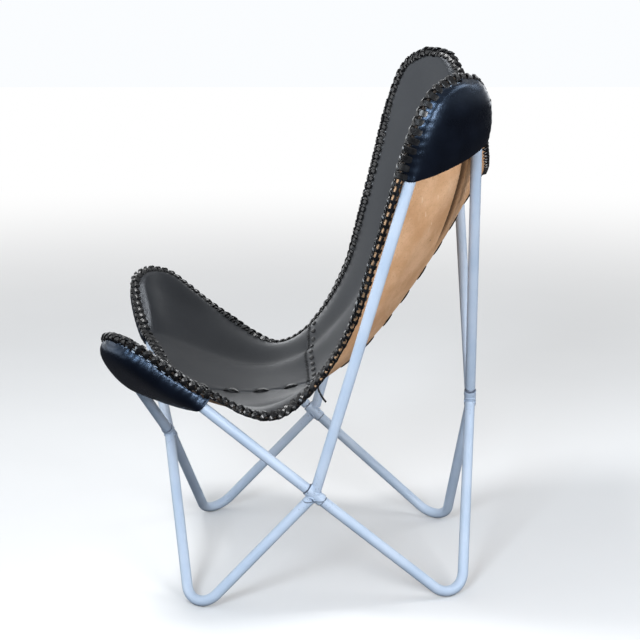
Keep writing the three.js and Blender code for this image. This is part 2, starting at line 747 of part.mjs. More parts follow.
// Seam lacing: flat laces over the butted panel edges, on the sitter's side
function seamSection(width, lift) {
  const low = SHEET_T / 2 + lift;
  const high = low + SEAM_LACE_T;
  return [[-width / 2, -low], [width / 2, -low], [width / 2, -high], [-width / 2, -high]];
}
const onCentre = (p) => V(0, p.y, p.z);
const beside = (p) => V(-10, p.y, p.z);
const middle = (grid, from, to) => grid.slice(from, to).map((row) => onCentre(row[0]));
const seatSeam = middle(seatGrid, 2, -1);
const seatLace = seamSection(SEAM_LACE_W, SEAT_LACE_LIFT);
piece('seat_seam_lace', laceLength(seatSeam, seatSeam.map(beside), seatLace), lace);
const backSeam = middle(backGrid, 1, -2);
const backLace = seamSection(SEAM_LACE_W, BACK_LACE_LIFT);
piece('back_seam_lace', laceLength(backSeam, backSeam.map(beside), backLace), lace);

const crossU = stationsU.slice(1, lastU);
const seamRow = crossU.map((u) => sling(u, SEAM_V));
const seatward = crossU.map((u) => sling(u, SEAM_V - 0.01));
const crossSeam = bothSides([onCentre(sling(0, SEAM_V)), ...seamRow]);
const crossInner = bothSides([onCentre(sling(0, SEAM_V - 0.01)), ...seatward]);
const half = crossSeam.length / 2;
crossSeam.splice(half, 1);
crossInner.splice(half, 1);
const crossSection = seamSection(CROSS_LACE_W, CROSS_LACE_LIFT).map(([a, b]) => [a, -b]);
piece('cross_seam_lace', laceLength(crossSeam, crossInner, crossSection), lace);

// Loose end of the lace, hanging below the left end of the cross seam
const tailEdge = sling(1, SEAM_V + TAIL_V);
const tailIn = toward(tailEdge, sling(1 - HEM_U, SEAM_V + TAIL_V));
const tailOut = tailIn.clone().cross(toward(sling(1, SEAM_V), sling(1, SEAM_V + 2 * TAIL_V)));
const tailTop = along(tailEdge, tailIn, LACE_LEAP + TAIL_DROP);
tailTop.addScaledVector(tailOut, SHEET_T / 2 + TAIL_CLEAR + TAIL_W / 2);
const tailPath = new THREE.CatmullRomCurve3([
  tailTop,
  tailTop.clone().add(V(1, TAIL_BOW, -TAIL_L / 2)),
  tailTop.clone().add(V(0, TAIL_DRIFT, -TAIL_L)),
]);
const tailShape = new THREE.Shape([
  new THREE.Vector2(-TAIL_T / 2, -TAIL_W / 2),
  new THREE.Vector2(TAIL_T / 2, -TAIL_W / 2),
  new THREE.Vector2(TAIL_T / 2, TAIL_W / 2),
  new THREE.Vector2(-TAIL_T / 2, TAIL_W / 2),
]);
piece('lace_tail', new THREE.ExtrudeGeometry(tailShape, { steps: 6, extrudePath: tailPath }), lace);

// Origin on the floor under the middle of the chair
const extent = new THREE.Box3().setFromObject(chair);
const centreY = (extent.min.y + extent.max.y) / 2;
for (const mesh of chair.children) mesh.geometry.translate(0, -centreY, -extent.min.z);

export default chair;
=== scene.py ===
"""Looks of the butterfly sling chair: painted bent tube, a laced two-tone sling, glossy corner pockets.

Metres, +Z up, the chair faces -Y, the sitter's left is +X, the floor is z = 0.
"""

import math

import bmesh
import bpy
import numpy as np
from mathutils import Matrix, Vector


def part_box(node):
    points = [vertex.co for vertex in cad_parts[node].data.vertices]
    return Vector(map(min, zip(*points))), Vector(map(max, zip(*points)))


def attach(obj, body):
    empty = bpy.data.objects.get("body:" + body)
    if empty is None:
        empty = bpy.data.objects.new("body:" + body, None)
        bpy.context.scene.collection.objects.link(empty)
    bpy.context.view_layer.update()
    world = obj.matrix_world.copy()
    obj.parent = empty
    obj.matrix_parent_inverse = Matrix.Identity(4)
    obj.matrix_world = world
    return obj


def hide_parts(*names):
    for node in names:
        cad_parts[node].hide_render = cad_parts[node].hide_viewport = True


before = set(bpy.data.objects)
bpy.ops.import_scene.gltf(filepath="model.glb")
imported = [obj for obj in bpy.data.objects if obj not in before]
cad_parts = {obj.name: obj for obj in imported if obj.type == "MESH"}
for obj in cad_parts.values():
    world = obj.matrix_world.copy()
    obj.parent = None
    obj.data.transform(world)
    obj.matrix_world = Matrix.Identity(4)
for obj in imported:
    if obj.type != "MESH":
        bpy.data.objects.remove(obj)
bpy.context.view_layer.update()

MM = 0.001


def point(x, y, z):
    """A place in millimetres, as metres."""
    return np.array([x, y, z], float) * MM


# Frame tube
TUBE_R = 9 * MM
FRONT_TIP_R, REAR_TIP_R, FOOT_R = 50 * MM, 60 * MM, 40 * MM
FRONT_TIP, REAR_TIP = point(305, -362, 508), point(354, 236, 1080)
FRONT_FOOT, REAR_FOOT = point(252, -216, 0), point(200, 240, 0)
SIDE_CROSS, FRONT_CROSS, BACK_CROSS = point(247, -10, 198), point(0, -268, 232), point(0, 266, 295)
SLEEVE_R, SLEEVE_L, SLEEVE_EDGE, SLEEVE_WAIST = 10.5 * MM, 34 * MM, 1.6 * MM, 0.25 * MM
PIN_R, PIN_IN, PIN_PLAY = 6 * MM, 15 * MM, 0.4 * MM
SIDE_NECK, FRONT_NECK, BACK_NECK, WELD_GAP = 1.4 * MM, 1.4 * MM, 5 * MM, 0.4 * MM
BEAD_R, BEAD_OUT, COPE_IN = 1.2 * MM, 0.36 * MM, 1.5 * MM

# Leather sling
SHEET_T, SHEET_OFF = 4 * MM, 12.6 * MM
EDGE_OUT_SIDE, EDGE_OUT_LIP, EDGE_OUT_TOP = 14 * MM, 19 * MM, 27 * MM
TOP_EDGE_DROP, SHEET_FALL = 6 * MM, 0.6
SEAM_GAP, POCKET_T = 1 * MM, 2.6 * MM
FRONT_LIP, SEAT_LOW = point(0, -270, 331), point(0, -106, 304)
SEAM_MID, TOP_DIP = point(0, -20, 321), point(0, 280, 703)
SIDE_LOW, SEAM_EDGE, DISH = point(249, -78, 330), point(229, -13, 373), 1.7
FRONT_MOUTH_SIDE, FRONT_MOUTH_FRONT = 230 * MM, 226 * MM
REAR_MOUTH_SIDE, REAR_MOUTH_BACK = 368 * MM, 334 * MM
FRONT_RUN_V, FRONT_MOUTH_V, SIDE_LOW_V, SEAM_V = 0.1, 0.2, 0.35, 0.45
REAR_MOUTH_V, REAR_RUN_V, MOUTH_U, RUN_U = 0.78, 0.9, 0.5, 0.8
UNDER_HEM = 3.7 * MM

# How the leather is drawn
FRONT_RIDGE, REAR_RIDGE, SWELL = 8 * MM, 1.0 * MM, 1.4 * MM
SHEET_EASE, EASE_SHARE, POCKET_EASE, TUBE_CLEAR, POCKET_CLEAR = 60, 0.7, 8, 0.6 * MM, 1.4 * MM
FOLD, FOLD_W, FOLD_LOW, FOLD_LOW_V, FOLD_SLANT = 7 * MM, 10 * MM, 101 * MM, 0.79, 0.786
FOLD_STARTS, FOLD_ENDS = (0.72, 0.83), (0.95, 0.995)
FOLD_SHADE_IN, FOLD_SHADE_OUT, RIM_SHADE = 20 * MM, 11 * MM, (0.90, 0.94)
RIDGE_FADE, RIDGE_INNER, RIDGE_SIDE, RIDGE_SIDE_LOSS = 90 * MM, 2.2, (-30 * MM, 15 * MM), 0.55
EDGE_TURN, EDGE_EASE, EDGE_EASE_SHARE = (3 * MM, 26 * MM), (22 * MM, 30 * MM), 0.6
SEAM_SINK, SEAM_LIP, PUCKER = 2.2 * MM, 3.5 * MM, 0.9 * MM
HEM_PUCKER, HEM_REACH, HEM_IN, POCKET_START = 0.34 * MM, 15 * MM, 1 * MM, 0.12

# Lacing
STITCH_PITCH, LACE_T = 14.6 * MM, 2.4 * MM
LACE_W, POCKET_LACE_W, TIP_LACE_W = 7.4 * MM, 10.8 * MM, 8.4 * MM
PLAIT_W, PLAIT_T, RETURN_W, RETURN_T, OUTSIDE_W, OUTSIDE_T = (s * MM for s in (6.4, 2.6, 5, 2.2, 4.4, 2.5))
SEAM_PITCH, SEAM_DASH, SEAM_W, SEAM_T = 48 * MM, 29 * MM, 8.4 * MM, 2.2 * MM
SEAT_DASH_W, SEAT_DASH_T = 1.3 * SEAM_W, 3.2 * MM
WHIP_PITCH, WHIP_DASH, WHIP_W, WHIP_T = 6.2 * MM, 7 * MM, 1.9 * MM, 1.1 * MM
STRAP_PITCH, STRAP_DASH, STRAP_W, STRAP_T, STRAP_SHIFT = 23 * MM, 13 * MM, 8.5 * MM, 1.8 * MM, 12 * MM

# Heights of the seam stitches over the leather, in millimetres
SEAT_DASH_UP, SEAM_UP, SEAM_OUTSIDE_UP, WHIP_UP, STRAP_UP = 6.0, 3.4, 0.5, 0.3, 1.0

# Rows of the panels between which the seams are stitched, the last two on the back's two sides
SEAT_SEAM_ROWS, BACK_SEAM_ROWS, OUTSIDE_SEAM_ROWS = (7, -6), (6, -5), (14, -3)

# Loose end of the lace
TAIL_W, TAIL_T, TAIL_IN, TAIL_DOWN = 3.4 * MM, 1.6 * MM, 2 * MM, 0.5 * MM

# How finely the shapes are divided
TUBE_SIDES, BEAD_SIDES, SLEEVE_SIDES, SADDLE_POINTS = 28, 8, 40, 40
BEND_STEPS, RUN_STEPS, FOOT_PASSES, FOOT_STEPS, PIN_STEPS = 28, 14, 12, 200, 5
TIP_ROWS, RUN_ROWS, POCKET_COLUMNS, HEM_POINTS, PUCKER_ROWS = 20, 25, 45, 1500, 4
WAIST_STEPS, RIM_ANGLES = 9, (1.2, 0.8, 0.4, 0)

# Angles, in degrees, above which an edge is drawn sharp
TUBE_SHARP, SLEEVE_SHARP, LACE_SHARP = 50, 40, 38

# Photograph's camera
LENS, SENSOR, VIEW_FROM, VIEW_UP, VIEW_ROUND, VIEW_Z = 96.2, 36, 3.0, 13.1, 89.77, 0.4355

# Share of the white backdrop in what the gloss shows
GLOSS_SHARE = 0.2

sleeve_low, sleeve_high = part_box("back_cross_sleeve")
ORIGIN_SHIFT = np.array([0, (sleeve_low.y + sleeve_high.y) / 2 - BACK_CROSS[1], 0])
MIRROR = np.array([-1.0, 1.0, 1.0])

# A direction that no crossing's axis has
ASIDE = (0.3, 0.9, 0.1)


def unit(v):
    return v / np.linalg.norm(v, axis=-1, keepdims=True)


def dot(a, b):
    return np.sum(a * b, axis=-1, keepdims=True)


def run_length(points):
    """Length along a line of points, from 0 at its start."""
    return np.concatenate([[0], np.cumsum(np.linalg.norm(np.diff(points, axis=0), axis=-1))])


def sampled(values, run, at):
    """Vectors kept along a line, read at other lengths along it."""
    return np.stack([np.interp(at, run, values[:, c]) for c in range(3)], -1)


# Shapes: bent tube


class Bend:
    """The bend where two straight runs of tube would meet."""

    def __init__(self, vertex, a, b, radius):
        self.vertex, self.radius = vertex, radius
        self.to_a, self.to_b = unit(a - vertex), unit(b - vertex)
        half = math.acos(float(np.dot(self.to_a, self.to_b))) / 2
        self.into = unit(self.to_a + self.to_b)
        self.across = unit(self.to_a - self.to_b)
        self.centre = vertex + self.into * radius / math.sin(half)
        self.sweep = math.pi / 2 - half
        self.out_a = -unit(self.to_b - self.to_a * np.dot(self.to_a, self.to_b))
        self.out_b = -unit(self.to_a - self.to_b * np.dot(self.to_a, self.to_b))
        side = unit(np.cross(self.across, self.into))
        self.sitter = -side if side[0] > 0 else side

    def at(self, angle, radius):
        angle = np.asarray(angle, float)[..., None]
        return self.centre - self.into * radius * np.cos(angle) + self.across * radius * np.sin(angle)

    def path(self, end_a, end_b):
        """Centre line of the bow from one end, round the bend, to the other end."""
        angles = np.linspace(self.sweep, -self.sweep, BEND_STEPS)
        run_a = np.linspace(end_a, self.at(self.sweep, self.radius), RUN_STEPS)[:-1]
        run_b = np.linspace(self.at(-self.sweep, self.radius), end_b, RUN_STEPS)[1:]
        return np.concatenate([run_a, self.at(angles, self.radius), run_b])


def foot_bend(vertex, a, b):
    """A foot's bend, let down until its tube stands on the floor."""
    vertex = vertex.copy()
    for _ in range(FOOT_PASSES):
        bend = Bend(vertex, a, b, FOOT_R)
        angles = np.linspace(-bend.sweep, bend.sweep, FOOT_STEPS)
        vertex[2] += TUBE_R - bend.at(angles, FOOT_R)[:, 2].min()
    return Bend(vertex, a, b, FOOT_R)


front_tip = Bend(FRONT_TIP, SIDE_CROSS, FRONT_CROSS, FRONT_TIP_R)
rear_tip = Bend(REAR_TIP, SIDE_CROSS, BACK_CROSS, REAR_TIP_R)
front_foot = foot_bend(FRONT_FOOT, SIDE_CROSS, FRONT_CROSS)
rear_foot = foot_bend(REAR_FOOT, SIDE_CROSS, BACK_CROSS)

side_axis = unit(FRONT_TIP - SIDE_CROSS)
crossings = {
    "left": (SIDE_CROSS, side_axis, SIDE_NECK),
    "right": (SIDE_CROSS * MIRROR, side_axis * MIRROR, SIDE_NECK),
    "front": (FRONT_CROSS, unit(FRONT_TIP - FRONT_CROSS), FRONT_NECK),
    "back": (BACK_CROSS, unit(REAR_TIP - BACK_CROSS), BACK_NECK),
}

# Each bow: its bend, the side it is on, and the crossing and joint at each end
bows = {
    "front_left_tip": (front_tip, 1, ("left", "pin"), ("front", "pin")),
    "front_right_tip": (front_tip, -1, ("right", "pin"), ("front", "cope")),
    "rear_left_tip": (rear_tip, 1, ("left", "cope"), ("back", "pin")),
    "rear_right_tip": (rear_tip, -1, ("right", "cope"), ("back", "cope")),
    "front_left_foot": (front_foot, 1, ("left", "cope"), ("front", "cope")),
    "front_right_foot": (front_foot, -1, ("right", "cope"), ("front", "butt")),
    "rear_left_foot": (rear_foot, 1, ("left", "butt"), ("back", "cope")),
    "rear_right_foot": (rear_foot, -1, ("right", "butt"), ("back", "butt")),
}


def run_end(cross, joint, toward):
    """Where a run stops at a crossing."""
    at, axis, neck = crossings[cross]
    if joint == "pin":
        return at + axis * (SLEEVE_L / 2 + neck)
    if joint == "butt":
        return at - axis * (SLEEVE_L / 2 + WELD_GAP)
    slope = abs(float(np.dot(toward, axis)))
    return at + toward * (SLEEVE_R - COPE_IN) / math.sqrt(1 - slope**2)


# Shapes: sling


def through(knots, square=False):
    """A smooth curve through points given at chosen parameters; a square one starts along x."""
    t = np.array([k[0] for k in knots])
    p = np.array([k[1] for k in knots])
    last = len(t) - 1
    before, after = np.maximum(np.arange(last + 1) - 1, 0), np.minimum(np.arange(last + 1) + 1, last)
    slope = (p[after] - p[before]) / (t[after] - t[before])[:, None]
    if square:
        slope[0, 1:] = 0

    def curve(x):
        x = np.asarray(x, float)
        i = np.searchsorted(t[1:-1], x, side="left")
        span = (t[i + 1] - t[i])[..., None]
        s = (x[..., None] - t[i][..., None]) / span
        out = p[i] * (2 * s**3 - 3 * s**2 + 1) + p[i + 1] * (3 * s**2 - 2 * s**3)
        return out + slope[i] * span * (s**3 - 2 * s**2 + s) + slope[i + 1] * span * (s**3 - s**2)

    return curve


def blend(a, b, t):
    return a + (b - a) * t


def round_tip(k, share):
    """Sheet edge round a tip's bend."""
    past = max(0, -share) if k is rear_tip else 0
    out = blend(EDGE_OUT_LIP, EDGE_OUT_SIDE, (share + 1) / 2) + (EDGE_OUT_TOP - EDGE_OUT_LIP) * past
    return k.at(k.sweep * share, k.radius + out) + k.sitter * (SHEET_OFF - TOP_EDGE_DROP * past)


def beside_run(k, run, distance, lift=0.0):
    """Sheet edge beside a straight run, so far from the place where the runs would meet."""
    d, out = (k.to_a, k.out_a) if run == "side" else (k.to_b, k.out_b)
    margin = EDGE_OUT_SIDE if run == "side" else EDGE_OUT_TOP if k is rear_tip else EDGE_OUT_LIP
    return k.vertex + d * distance + out * margin + k.sitter * (SHEET_OFF + lift)


rear_mouth_edge = beside_run(rear_tip, "side", REAR_MOUTH_SIDE)
side_edge = through([
    (0, round_tip(front_tip, 0)),
    (FRONT_RUN_V / 2, round_tip(front_tip, 0.5)),
    (FRONT_RUN_V, round_tip(front_tip, 1)),
    (FRONT_MOUTH_V, beside_run(front_tip, "side", FRONT_MOUTH_SIDE, 9 * MM)),
    (SIDE_LOW_V, SIDE_LOW),
    (SEAM_V, SEAM_EDGE),
    (0.55, blend(SEAM_EDGE, rear_mouth_edge, 0.3) + point(-13, 22, -4)),
    (0.66, blend(SEAM_EDGE, rear_mouth_edge, 0.635) + point(-9, 13, -2)),
    (REAR_MOUTH_V, rear_mouth_edge),
    (REAR_RUN_V, round_tip(rear_tip, 1)),
    ((1 + REAR_RUN_V) / 2, round_tip(rear_tip, 0.5)),
    (1, round_tip(rear_tip, 0)),
])
front_mouth_lip = beside_run(front_tip, "lip", FRONT_MOUTH_FRONT, 7 * MM)
front_edge = through([
    (0, FRONT_LIP),
    (0.22, blend(FRONT_LIP, front_mouth_lip, 0.45) + point(0, 6, -4)),
    (MOUTH_U, front_mouth_lip),
    (0.66, beside_run(front_tip, "lip", 205 * MM, 1 * MM)),
    (RUN_U, round_tip(front_tip, -1)),
    (0.9, round_tip(front_tip, -0.5)),
    (1, round_tip(front_tip, 0)),
], square=True)
rear_mouth_top = beside_run(rear_tip, "lip", REAR_MOUTH_BACK, -TOP_EDGE_DROP)
top_edge = through([
    (0, TOP_DIP),
    (0.25, blend(TOP_DIP, rear_mouth_top, 0.5) + point(0, 5, -17)),
    (MOUTH_U, rear_mouth_top),
    (RUN_U, round_tip(rear_tip, -1)),
    (0.9, round_tip(rear_tip, -0.5)),
    (1, round_tip(rear_tip, 0)),
], square=True)
centre_line = through([
    (0, FRONT_LIP),
    (0.1, blend(FRONT_LIP, SEAT_LOW, 0.25) + point(0, 0, -7)),
    (0.2, blend(FRONT_LIP, SEAT_LOW, 0.54) + point(0, 0, -10)),
    (SIDE_LOW_V, SEAT_LOW),
    (SEAM_V, SEAM_MID),
    (0.55, blend(SEAM_MID, TOP_DIP, 0.26) + point(0, 6, -41)),
    (0.66, blend(SEAM_MID, TOP_DIP, 0.5) + point(0, 5, -46)),
    (REAR_MOUTH_V, blend(SEAM_MID, TOP_DIP, 0.74) + point(0, 5, -28)),
    (REAR_RUN_V, blend(SEAM_MID, TOP_DIP, 0.9) + point(0, 1, -10)),
    (1, TOP_DIP),
])


def off_tube(p, k):
    """Height of sheet points over a tip's plane, how far outside its tube, how far down its run."""
    way = p - k.vertex
    height = dot(way, k.sitter)
    flat = way - k.sitter * height
    around = p - k.sitter * height - k.centre
    angle = np.arctan2(dot(around, k.across), -dot(around, k.into))
    beside = np.where(angle > 0, dot(flat, k.out_a), dot(flat, k.out_b))
    ring = np.linalg.norm(around, axis=-1, keepdims=True) - k.radius
    down = np.where(angle > 0, dot(flat, k.to_a), dot(flat, k.to_b))
    return height, np.where(np.abs(angle) > k.sweep, beside, ring), down


def sling(u, v):
    """Middle of the leather, left half: u from the centre line out, v from the front lip to the top."""
    u, v = np.broadcast_arrays(np.asarray(u, float), np.asarray(v, float))
    a = np.stack([u, u**DISH, u**DISH], -1)
    mid = centre_line(v)
    lip_bow = front_edge(u) - (FRONT_LIP + (side_edge(0.0) - FRONT_LIP) * a)
    top_bow = top_edge(u) - (TOP_DIP + (side_edge(1.0) - TOP_DIP) * a)
    p = mid + (side_edge(v) - mid) * a
    p = p + lip_bow * ((1 - v) ** 2)[..., None] + top_bow * (v**2)[..., None]
    for k in (front_tip, rear_tip):
        height, off, _ = off_tube(p, k)
        need = SHEET_OFF - SHEET_FALL * np.maximum(np.abs(off) - EDGE_OUT_LIP, 0)
        p = p + k.sitter * np.maximum(need - height, 0)
    return p


def normals(p):
    """Sitter-side normals of a grid of points laid out front to back, centre to edge."""
    return unit(np.cross(np.gradient(p, axis=1), np.gradient(p, axis=0)))


# Objects


def new_object(name, data):
    made = bpy.data.objects.new(name, data)
    bpy.context.scene.collection.objects.link(made)
    return made


def mesh_of(name, points, faces, rounded=True):
    mesh = bpy.data.meshes.new(name)
    mesh.from_pydata([tuple(p) for p in points], [], [tuple(f) for f in faces])
    mesh.validate()
    if rounded:
        mesh.shade_smooth()
    else:
        mesh.shade_flat()
    return mesh


def sharpened(made, degrees):
    made.data.set_sharp_from_angle(angle=math.radians(degrees))
    return made


def settle(made, nodes, slot, *materials):
    """Gives a finished piece its materials and its place on the frame, and hides the solids it stands for."""
    if materials:
        made.data.materials.clear()
    for material in materials:
        made.data.materials.append(material)
    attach(made, "root")
    if nodes:
        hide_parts(*nodes)
    return made


# Node graphs


class Wire:
    """A socket that can stand in sums."""

    def __init__(self, graph, socket):
        self.graph, self.socket = graph, socket

    def sum(self, operation, *terms):
        return self.graph.node("ShaderNodeMath", {"operation": operation}, dict(enumerate(terms)))

    def __add__(self, other):
        return self.sum("ADD", self, other)

    def __radd__(self, other):
        return self.sum("ADD", other, self)

    def __sub__(self, other):
        return self.sum("SUBTRACT", self, other)

    def __rsub__(self, other):
        return self.sum("SUBTRACT", other, self)

    def __mul__(self, other):
        return self.sum("MULTIPLY", self, other)

    def __rmul__(self, other):
        return self.sum("MULTIPLY", other, self)

    def least(self, other):
        return self.sum("MINIMUM", self, other)

    def most(self, other):
        return self.sum("MAXIMUM", self, other)

    def size(self):
        return self.sum("ABSOLUTE", self)

    def between(self, low, high):
        """0 below low, 1 above high, smooth between."""
        ends = {"Value": self, "From Min": low, "From Max": high}
        return self.graph.node("ShaderNodeMapRange", {"interpolation_type": "SMOOTHSTEP"}, ends)


class Graph:
    """A node tree that is written as expressions."""

    def __init__(self, tree):
        self.tree = tree

    def node(self, kind, settings=None, sockets=None, out=0):
        made = self.tree.nodes.new(kind)
        for key, value in (settings or {}).items():
            setattr(made, key, value)
        for key, value in (sockets or {}).items():
            if isinstance(value, Wire):
                self.tree.links.new(value.socket, made.inputs[key])
            else:
                made.inputs[key].default_value = value
        return Wire(self, made.outputs[out])

    def vector(self, operation, a, b, out=0):
        """Vector maths: output 0 is a vector, output 1 a number."""
        return self.node("ShaderNodeVectorMath", {"operation": operation}, {0: a, 1: b}, out)


class Finish(Graph):
    """A material built round one shader."""

    def __init__(self, name, **fixed):
        self.material = bpy.data.materials.new(name)
        self.material.use_nodes = True
        super().__init__(self.material.node_tree)
        self.shader = self.tree.nodes["Principled BSDF"]
        for key, value in fixed.items():
            self.shader.inputs[key.replace("_", " ")].default_value = value
        self.place = self.node("ShaderNodeTexCoord", out="Object")

    def feed(self, **links):
        for key, wire in links.items():
            self.tree.links.new(wire.socket, self.shader.inputs[key.replace("_", " ")])
        return self.material

    def noise(self, scale, detail=3.0, rough=0.55, at=None):
        at = at or self.place
        return self.node(
            "ShaderNodeTexNoise", None, {"Vector": at, "Scale": scale, "Detail": detail, "Roughness": rough}
        )

    def cells(self, scale, feature="F1", at=None):
        at = at or self.place
        return self.node("ShaderNodeTexVoronoi", {"feature": feature}, {"Vector": at, "Scale": scale})

    def tint(self, share, a, b):
        """Colour a where share is 0 and colour b where it is 1."""
        return self.node("ShaderNodeMix", {"data_type": "RGBA"}, {0: share, 6: a, 7: b}, out=2)

    def bump(self, height, depth, strength):
        relief = {"Height": height, "Distance": depth, "Strength": strength}
        return self.node("ShaderNodeBump", None, relief)


def colour(r, g, b):
    return (r, g, b, 1.0)


def paint():
    """Pale blue frame paint: soft gloss, faint orange peel, chips and a darker tone close to the welds;
    painted shade in the gaps at the sleeve ends.
    """
    f = Finish("pale_blue_paint", Specular_IOR_Level=0.5)
    peel = f.noise(420, 2)
    cloud = f.noise(14, 4)
    near = ring = None
    for at, axis, _ in crossings.values():
        centre = tuple(at + ORIGIN_SHIFT)
        away = f.vector("DISTANCE", f.place, centre, out=1)
        along = f.vector("DOT_PRODUCT", f.vector("SUBTRACT", f.place, centre), tuple(axis), out=1)
        end = (along.size() - SLEEVE_L / 2).size()
        near = away if near is None else near.least(away)
        ring = end if ring is None else ring.least(end)
    weld = 1 - near.between(0.012, 0.05)
    # Painted shade: a dark ring where each tube end meets its sleeve, standing for the shadow in the narrow
    # gap
    painted_gap_shade = (1 - ring.between(0.0005, 0.0012)) * (1 - near.between(0.0205, 0.0225))
    pits = f.noise(300, 3).between(0.62, 0.7) * weld
    scuffs = f.noise(75, 5, 0.7).between(0.66, 0.74) * 0.5
    base = f.tint(cloud.between(0.35, 0.7), colour(0.42, 0.515, 0.645), colour(0.485, 0.57, 0.69))
    base = f.tint(scuffs, base, colour(0.56, 0.63, 0.72))
    # A darker tone close to the welds
    base = f.tint(weld * 0.3, base, colour(0.32, 0.40, 0.53))
    base = f.tint(pits, base, colour(0.10, 0.12, 0.16))
    # Painted shade in the gaps at the sleeve ends
    base = f.tint(painted_gap_shade * 0.85, base, colour(0.05, 0.065, 0.10))
    rough = 0.34 + cloud * 0.16 + pits * 0.3
    relief = f.bump(peel * 0.3 + pits * -1.5, 0.0004, 0.5)
    return f.feed(Base_Color=base, Roughness=rough, Normal=relief)


def steel():
    """Bare steel of the pins."""
    f = Finish("pin_steel", Metallic=0.6)
    brushed = f.noise(600, 3)
    base = f.tint(brushed, colour(0.42, 0.48, 0.58), colour(0.56, 0.62, 0.72))
    return f.feed(Base_Color=base, Roughness=0.35 + brushed * 0.2)


def grain(f, scale):
    """Leather grain: small plump cells with finer pores between them."""
    wander = f.noise(scale * 0.35, 2)
    cells = f.cells(scale, "DISTANCE_TO_EDGE")
    return cells.between(0.0, 0.35) * 0.7 + wander * 0.6


def black_leather():
    """The sitter's side: black leather with a soft sheen, worn a little greyer where it is sat on."""
    f = Finish("black_leather", Specular_IOR_Level=0.5, Specular_Tint=colour(0.86, 0.92, 1.0))
    pebbles = grain(f, 620)
    wear = f.noise(7, 4, 0.6)
    rumple = f.noise(38, 5, 0.65)
    base = f.tint(wear.between(0.3, 0.75), colour(0.006, 0.0065, 0.008), colour(0.015, 0.016, 0.0185))
    base = f.tint(pebbles.between(0.2, 0.5) * 0.35, base, colour(0.006, 0.006, 0.007))
    rough = 0.31 + wear * 0.12 - pebbles * 0.06
    relief = f.bump(pebbles * 0.5 + rumple * 0.8, 0.0006, 0.45)
    return f.feed(Base_Color=base, Roughness=rough, Normal=relief)


def tan_leather():
    """The outside: natural tan flesh side with mottling, specks and pale scratches; painted shade in the
    back's fold and round the seat's rim.
    """
    f = Finish("tan_leather", Specular_IOR_Level=0.35)
    pebbles = grain(f, 520)
    mottle = f.noise(16, 5, 0.6)
    stretched = f.node("ShaderNodeMapping", None, {"Vector": f.place, "Scale": (1.0, 4.0, 0.8)})
    streak = f.noise(22, 6, 0.5, stretched)
    specks = 1 - f.cells(46).between(0.05, 0.12)
    rare = f.noise(30, 1).between(0.6, 0.66)
    fine = f.noise(260, 3).between(0.54, 0.72)
    slant = {"Vector": f.place, "Rotation": (0.5, 0, 0), "Scale": (1.0, 9.0, 1.0)}
    scratch = f.noise(24, 2, 0.5, f.node("ShaderNodeMapping", None, slant)).between(0.71, 0.735)
    bent = f.node("ShaderNodeVectorMath", {"operation": "SCALE"}, {0: f.noise(40, 3), 3: 0.02})
    wrinkle = 1 - f.cells(85, "DISTANCE_TO_EDGE", f.vector("ADD", f.place, bent)).between(0.0, 0.09)
    wrinkle = wrinkle * (f.noise(9, 2).between(0.45, 0.6) * 0.8)
    painted_shade = f.node("ShaderNodeAttribute", {"attribute_name": "painted_shade"}, out="Fac")
    base = f.tint(mottle.between(0.3, 0.72), colour(0.635, 0.352, 0.178), colour(0.82, 0.515, 0.305))
    base = f.tint(streak.between(0.55, 0.8) * 0.5, base, colour(0.86, 0.60, 0.385))
    base = f.tint(fine * 0.5, base, colour(0.48, 0.265, 0.125))
    base = f.tint(wrinkle * 0.16, base, colour(0.44, 0.235, 0.105))
    base = f.tint(scratch * 0.6, base, colour(0.90, 0.69, 0.48))
    base = f.tint(specks * rare, base, colour(0.18, 0.085, 0.035))
    # Painted shade: the stored share darkens the back's fold and the seat's rim
    base = f.tint(painted_shade.between(0.04, 0.6) * 0.7, base, colour(0.28, 0.15, 0.068))
    base = f.tint(painted_shade.between(0.35, 0.8) * 0.93, base, colour(0.07, 0.036, 0.016))
    rough = 0.62 + mottle * 0.12
    relief = f.bump(pebbles * 0.4 + streak * 0.8 - wrinkle, 0.0008, 0.5)
    return f.feed(Base_Color=base, Roughness=rough, Normal=relief)


def raw_edge(name, dark, pale):
    """Cut edge of the leather, from its dark fibres to its pale ones."""
    f = Finish(name, Specular_IOR_Level=0.3)
    fibre = f.noise(500, 4, 0.7)
    base = f.tint(fibre.between(0.3, 0.7), dark, pale)
    return f.feed(Base_Color=base, Roughness=0.7 + fibre * 0.15, Normal=f.bump(fibre, 0.0004, 0.6))


def glossy_leather():
    """Corner pockets: glossy blue-black leather, drawn tight."""
    f = Finish(
        "glossy_black_leather", Specular_IOR_Level=0.65, Coat_Roughness=0.2,
        Specular_Tint=colour(0.45, 0.66, 1.0),
    )
    pebbles = grain(f, 560)
    wave = f.noise(26, 3)
    base = f.tint(wave.between(0.35, 0.7), colour(0.0015, 0.002, 0.004), colour(0.0025, 0.0035, 0.007))
    rough = 0.225 + wave * 0.09 + pebbles * 0.04
    return f.feed(
        Base_Color=base, Roughness=rough, Coat_Weight=wave * 0.1,
        Normal=f.bump(pebbles * 0.35 + wave * 1.2, 0.0007, 0.4),
    )


def black_lace():
    """Lace: black leather thong with rubbed, shinier crowns."""
    f = Finish("black_lace", Specular_IOR_Level=0.5)
    rub = f.noise(120, 3)
    fibre = f.noise(900, 2)
    base = f.tint(rub.between(0.4, 0.75), colour(0.003, 0.003, 0.0035), colour(0.009, 0.009, 0.010))
    relief = f.bump(fibre * 0.5 + rub, 0.0004, 0.5)
    return f.feed(Base_Color=base, Roughness=0.2 + rub * 0.16, Normal=relief)


pale_blue_paint, pin_steel = paint(), steel()
black_side, tan_side = black_leather(), tan_leather()
cut_edge = raw_edge("raw_leather_edge", colour(0.46, 0.26, 0.13), colour(0.68, 0.46, 0.29))
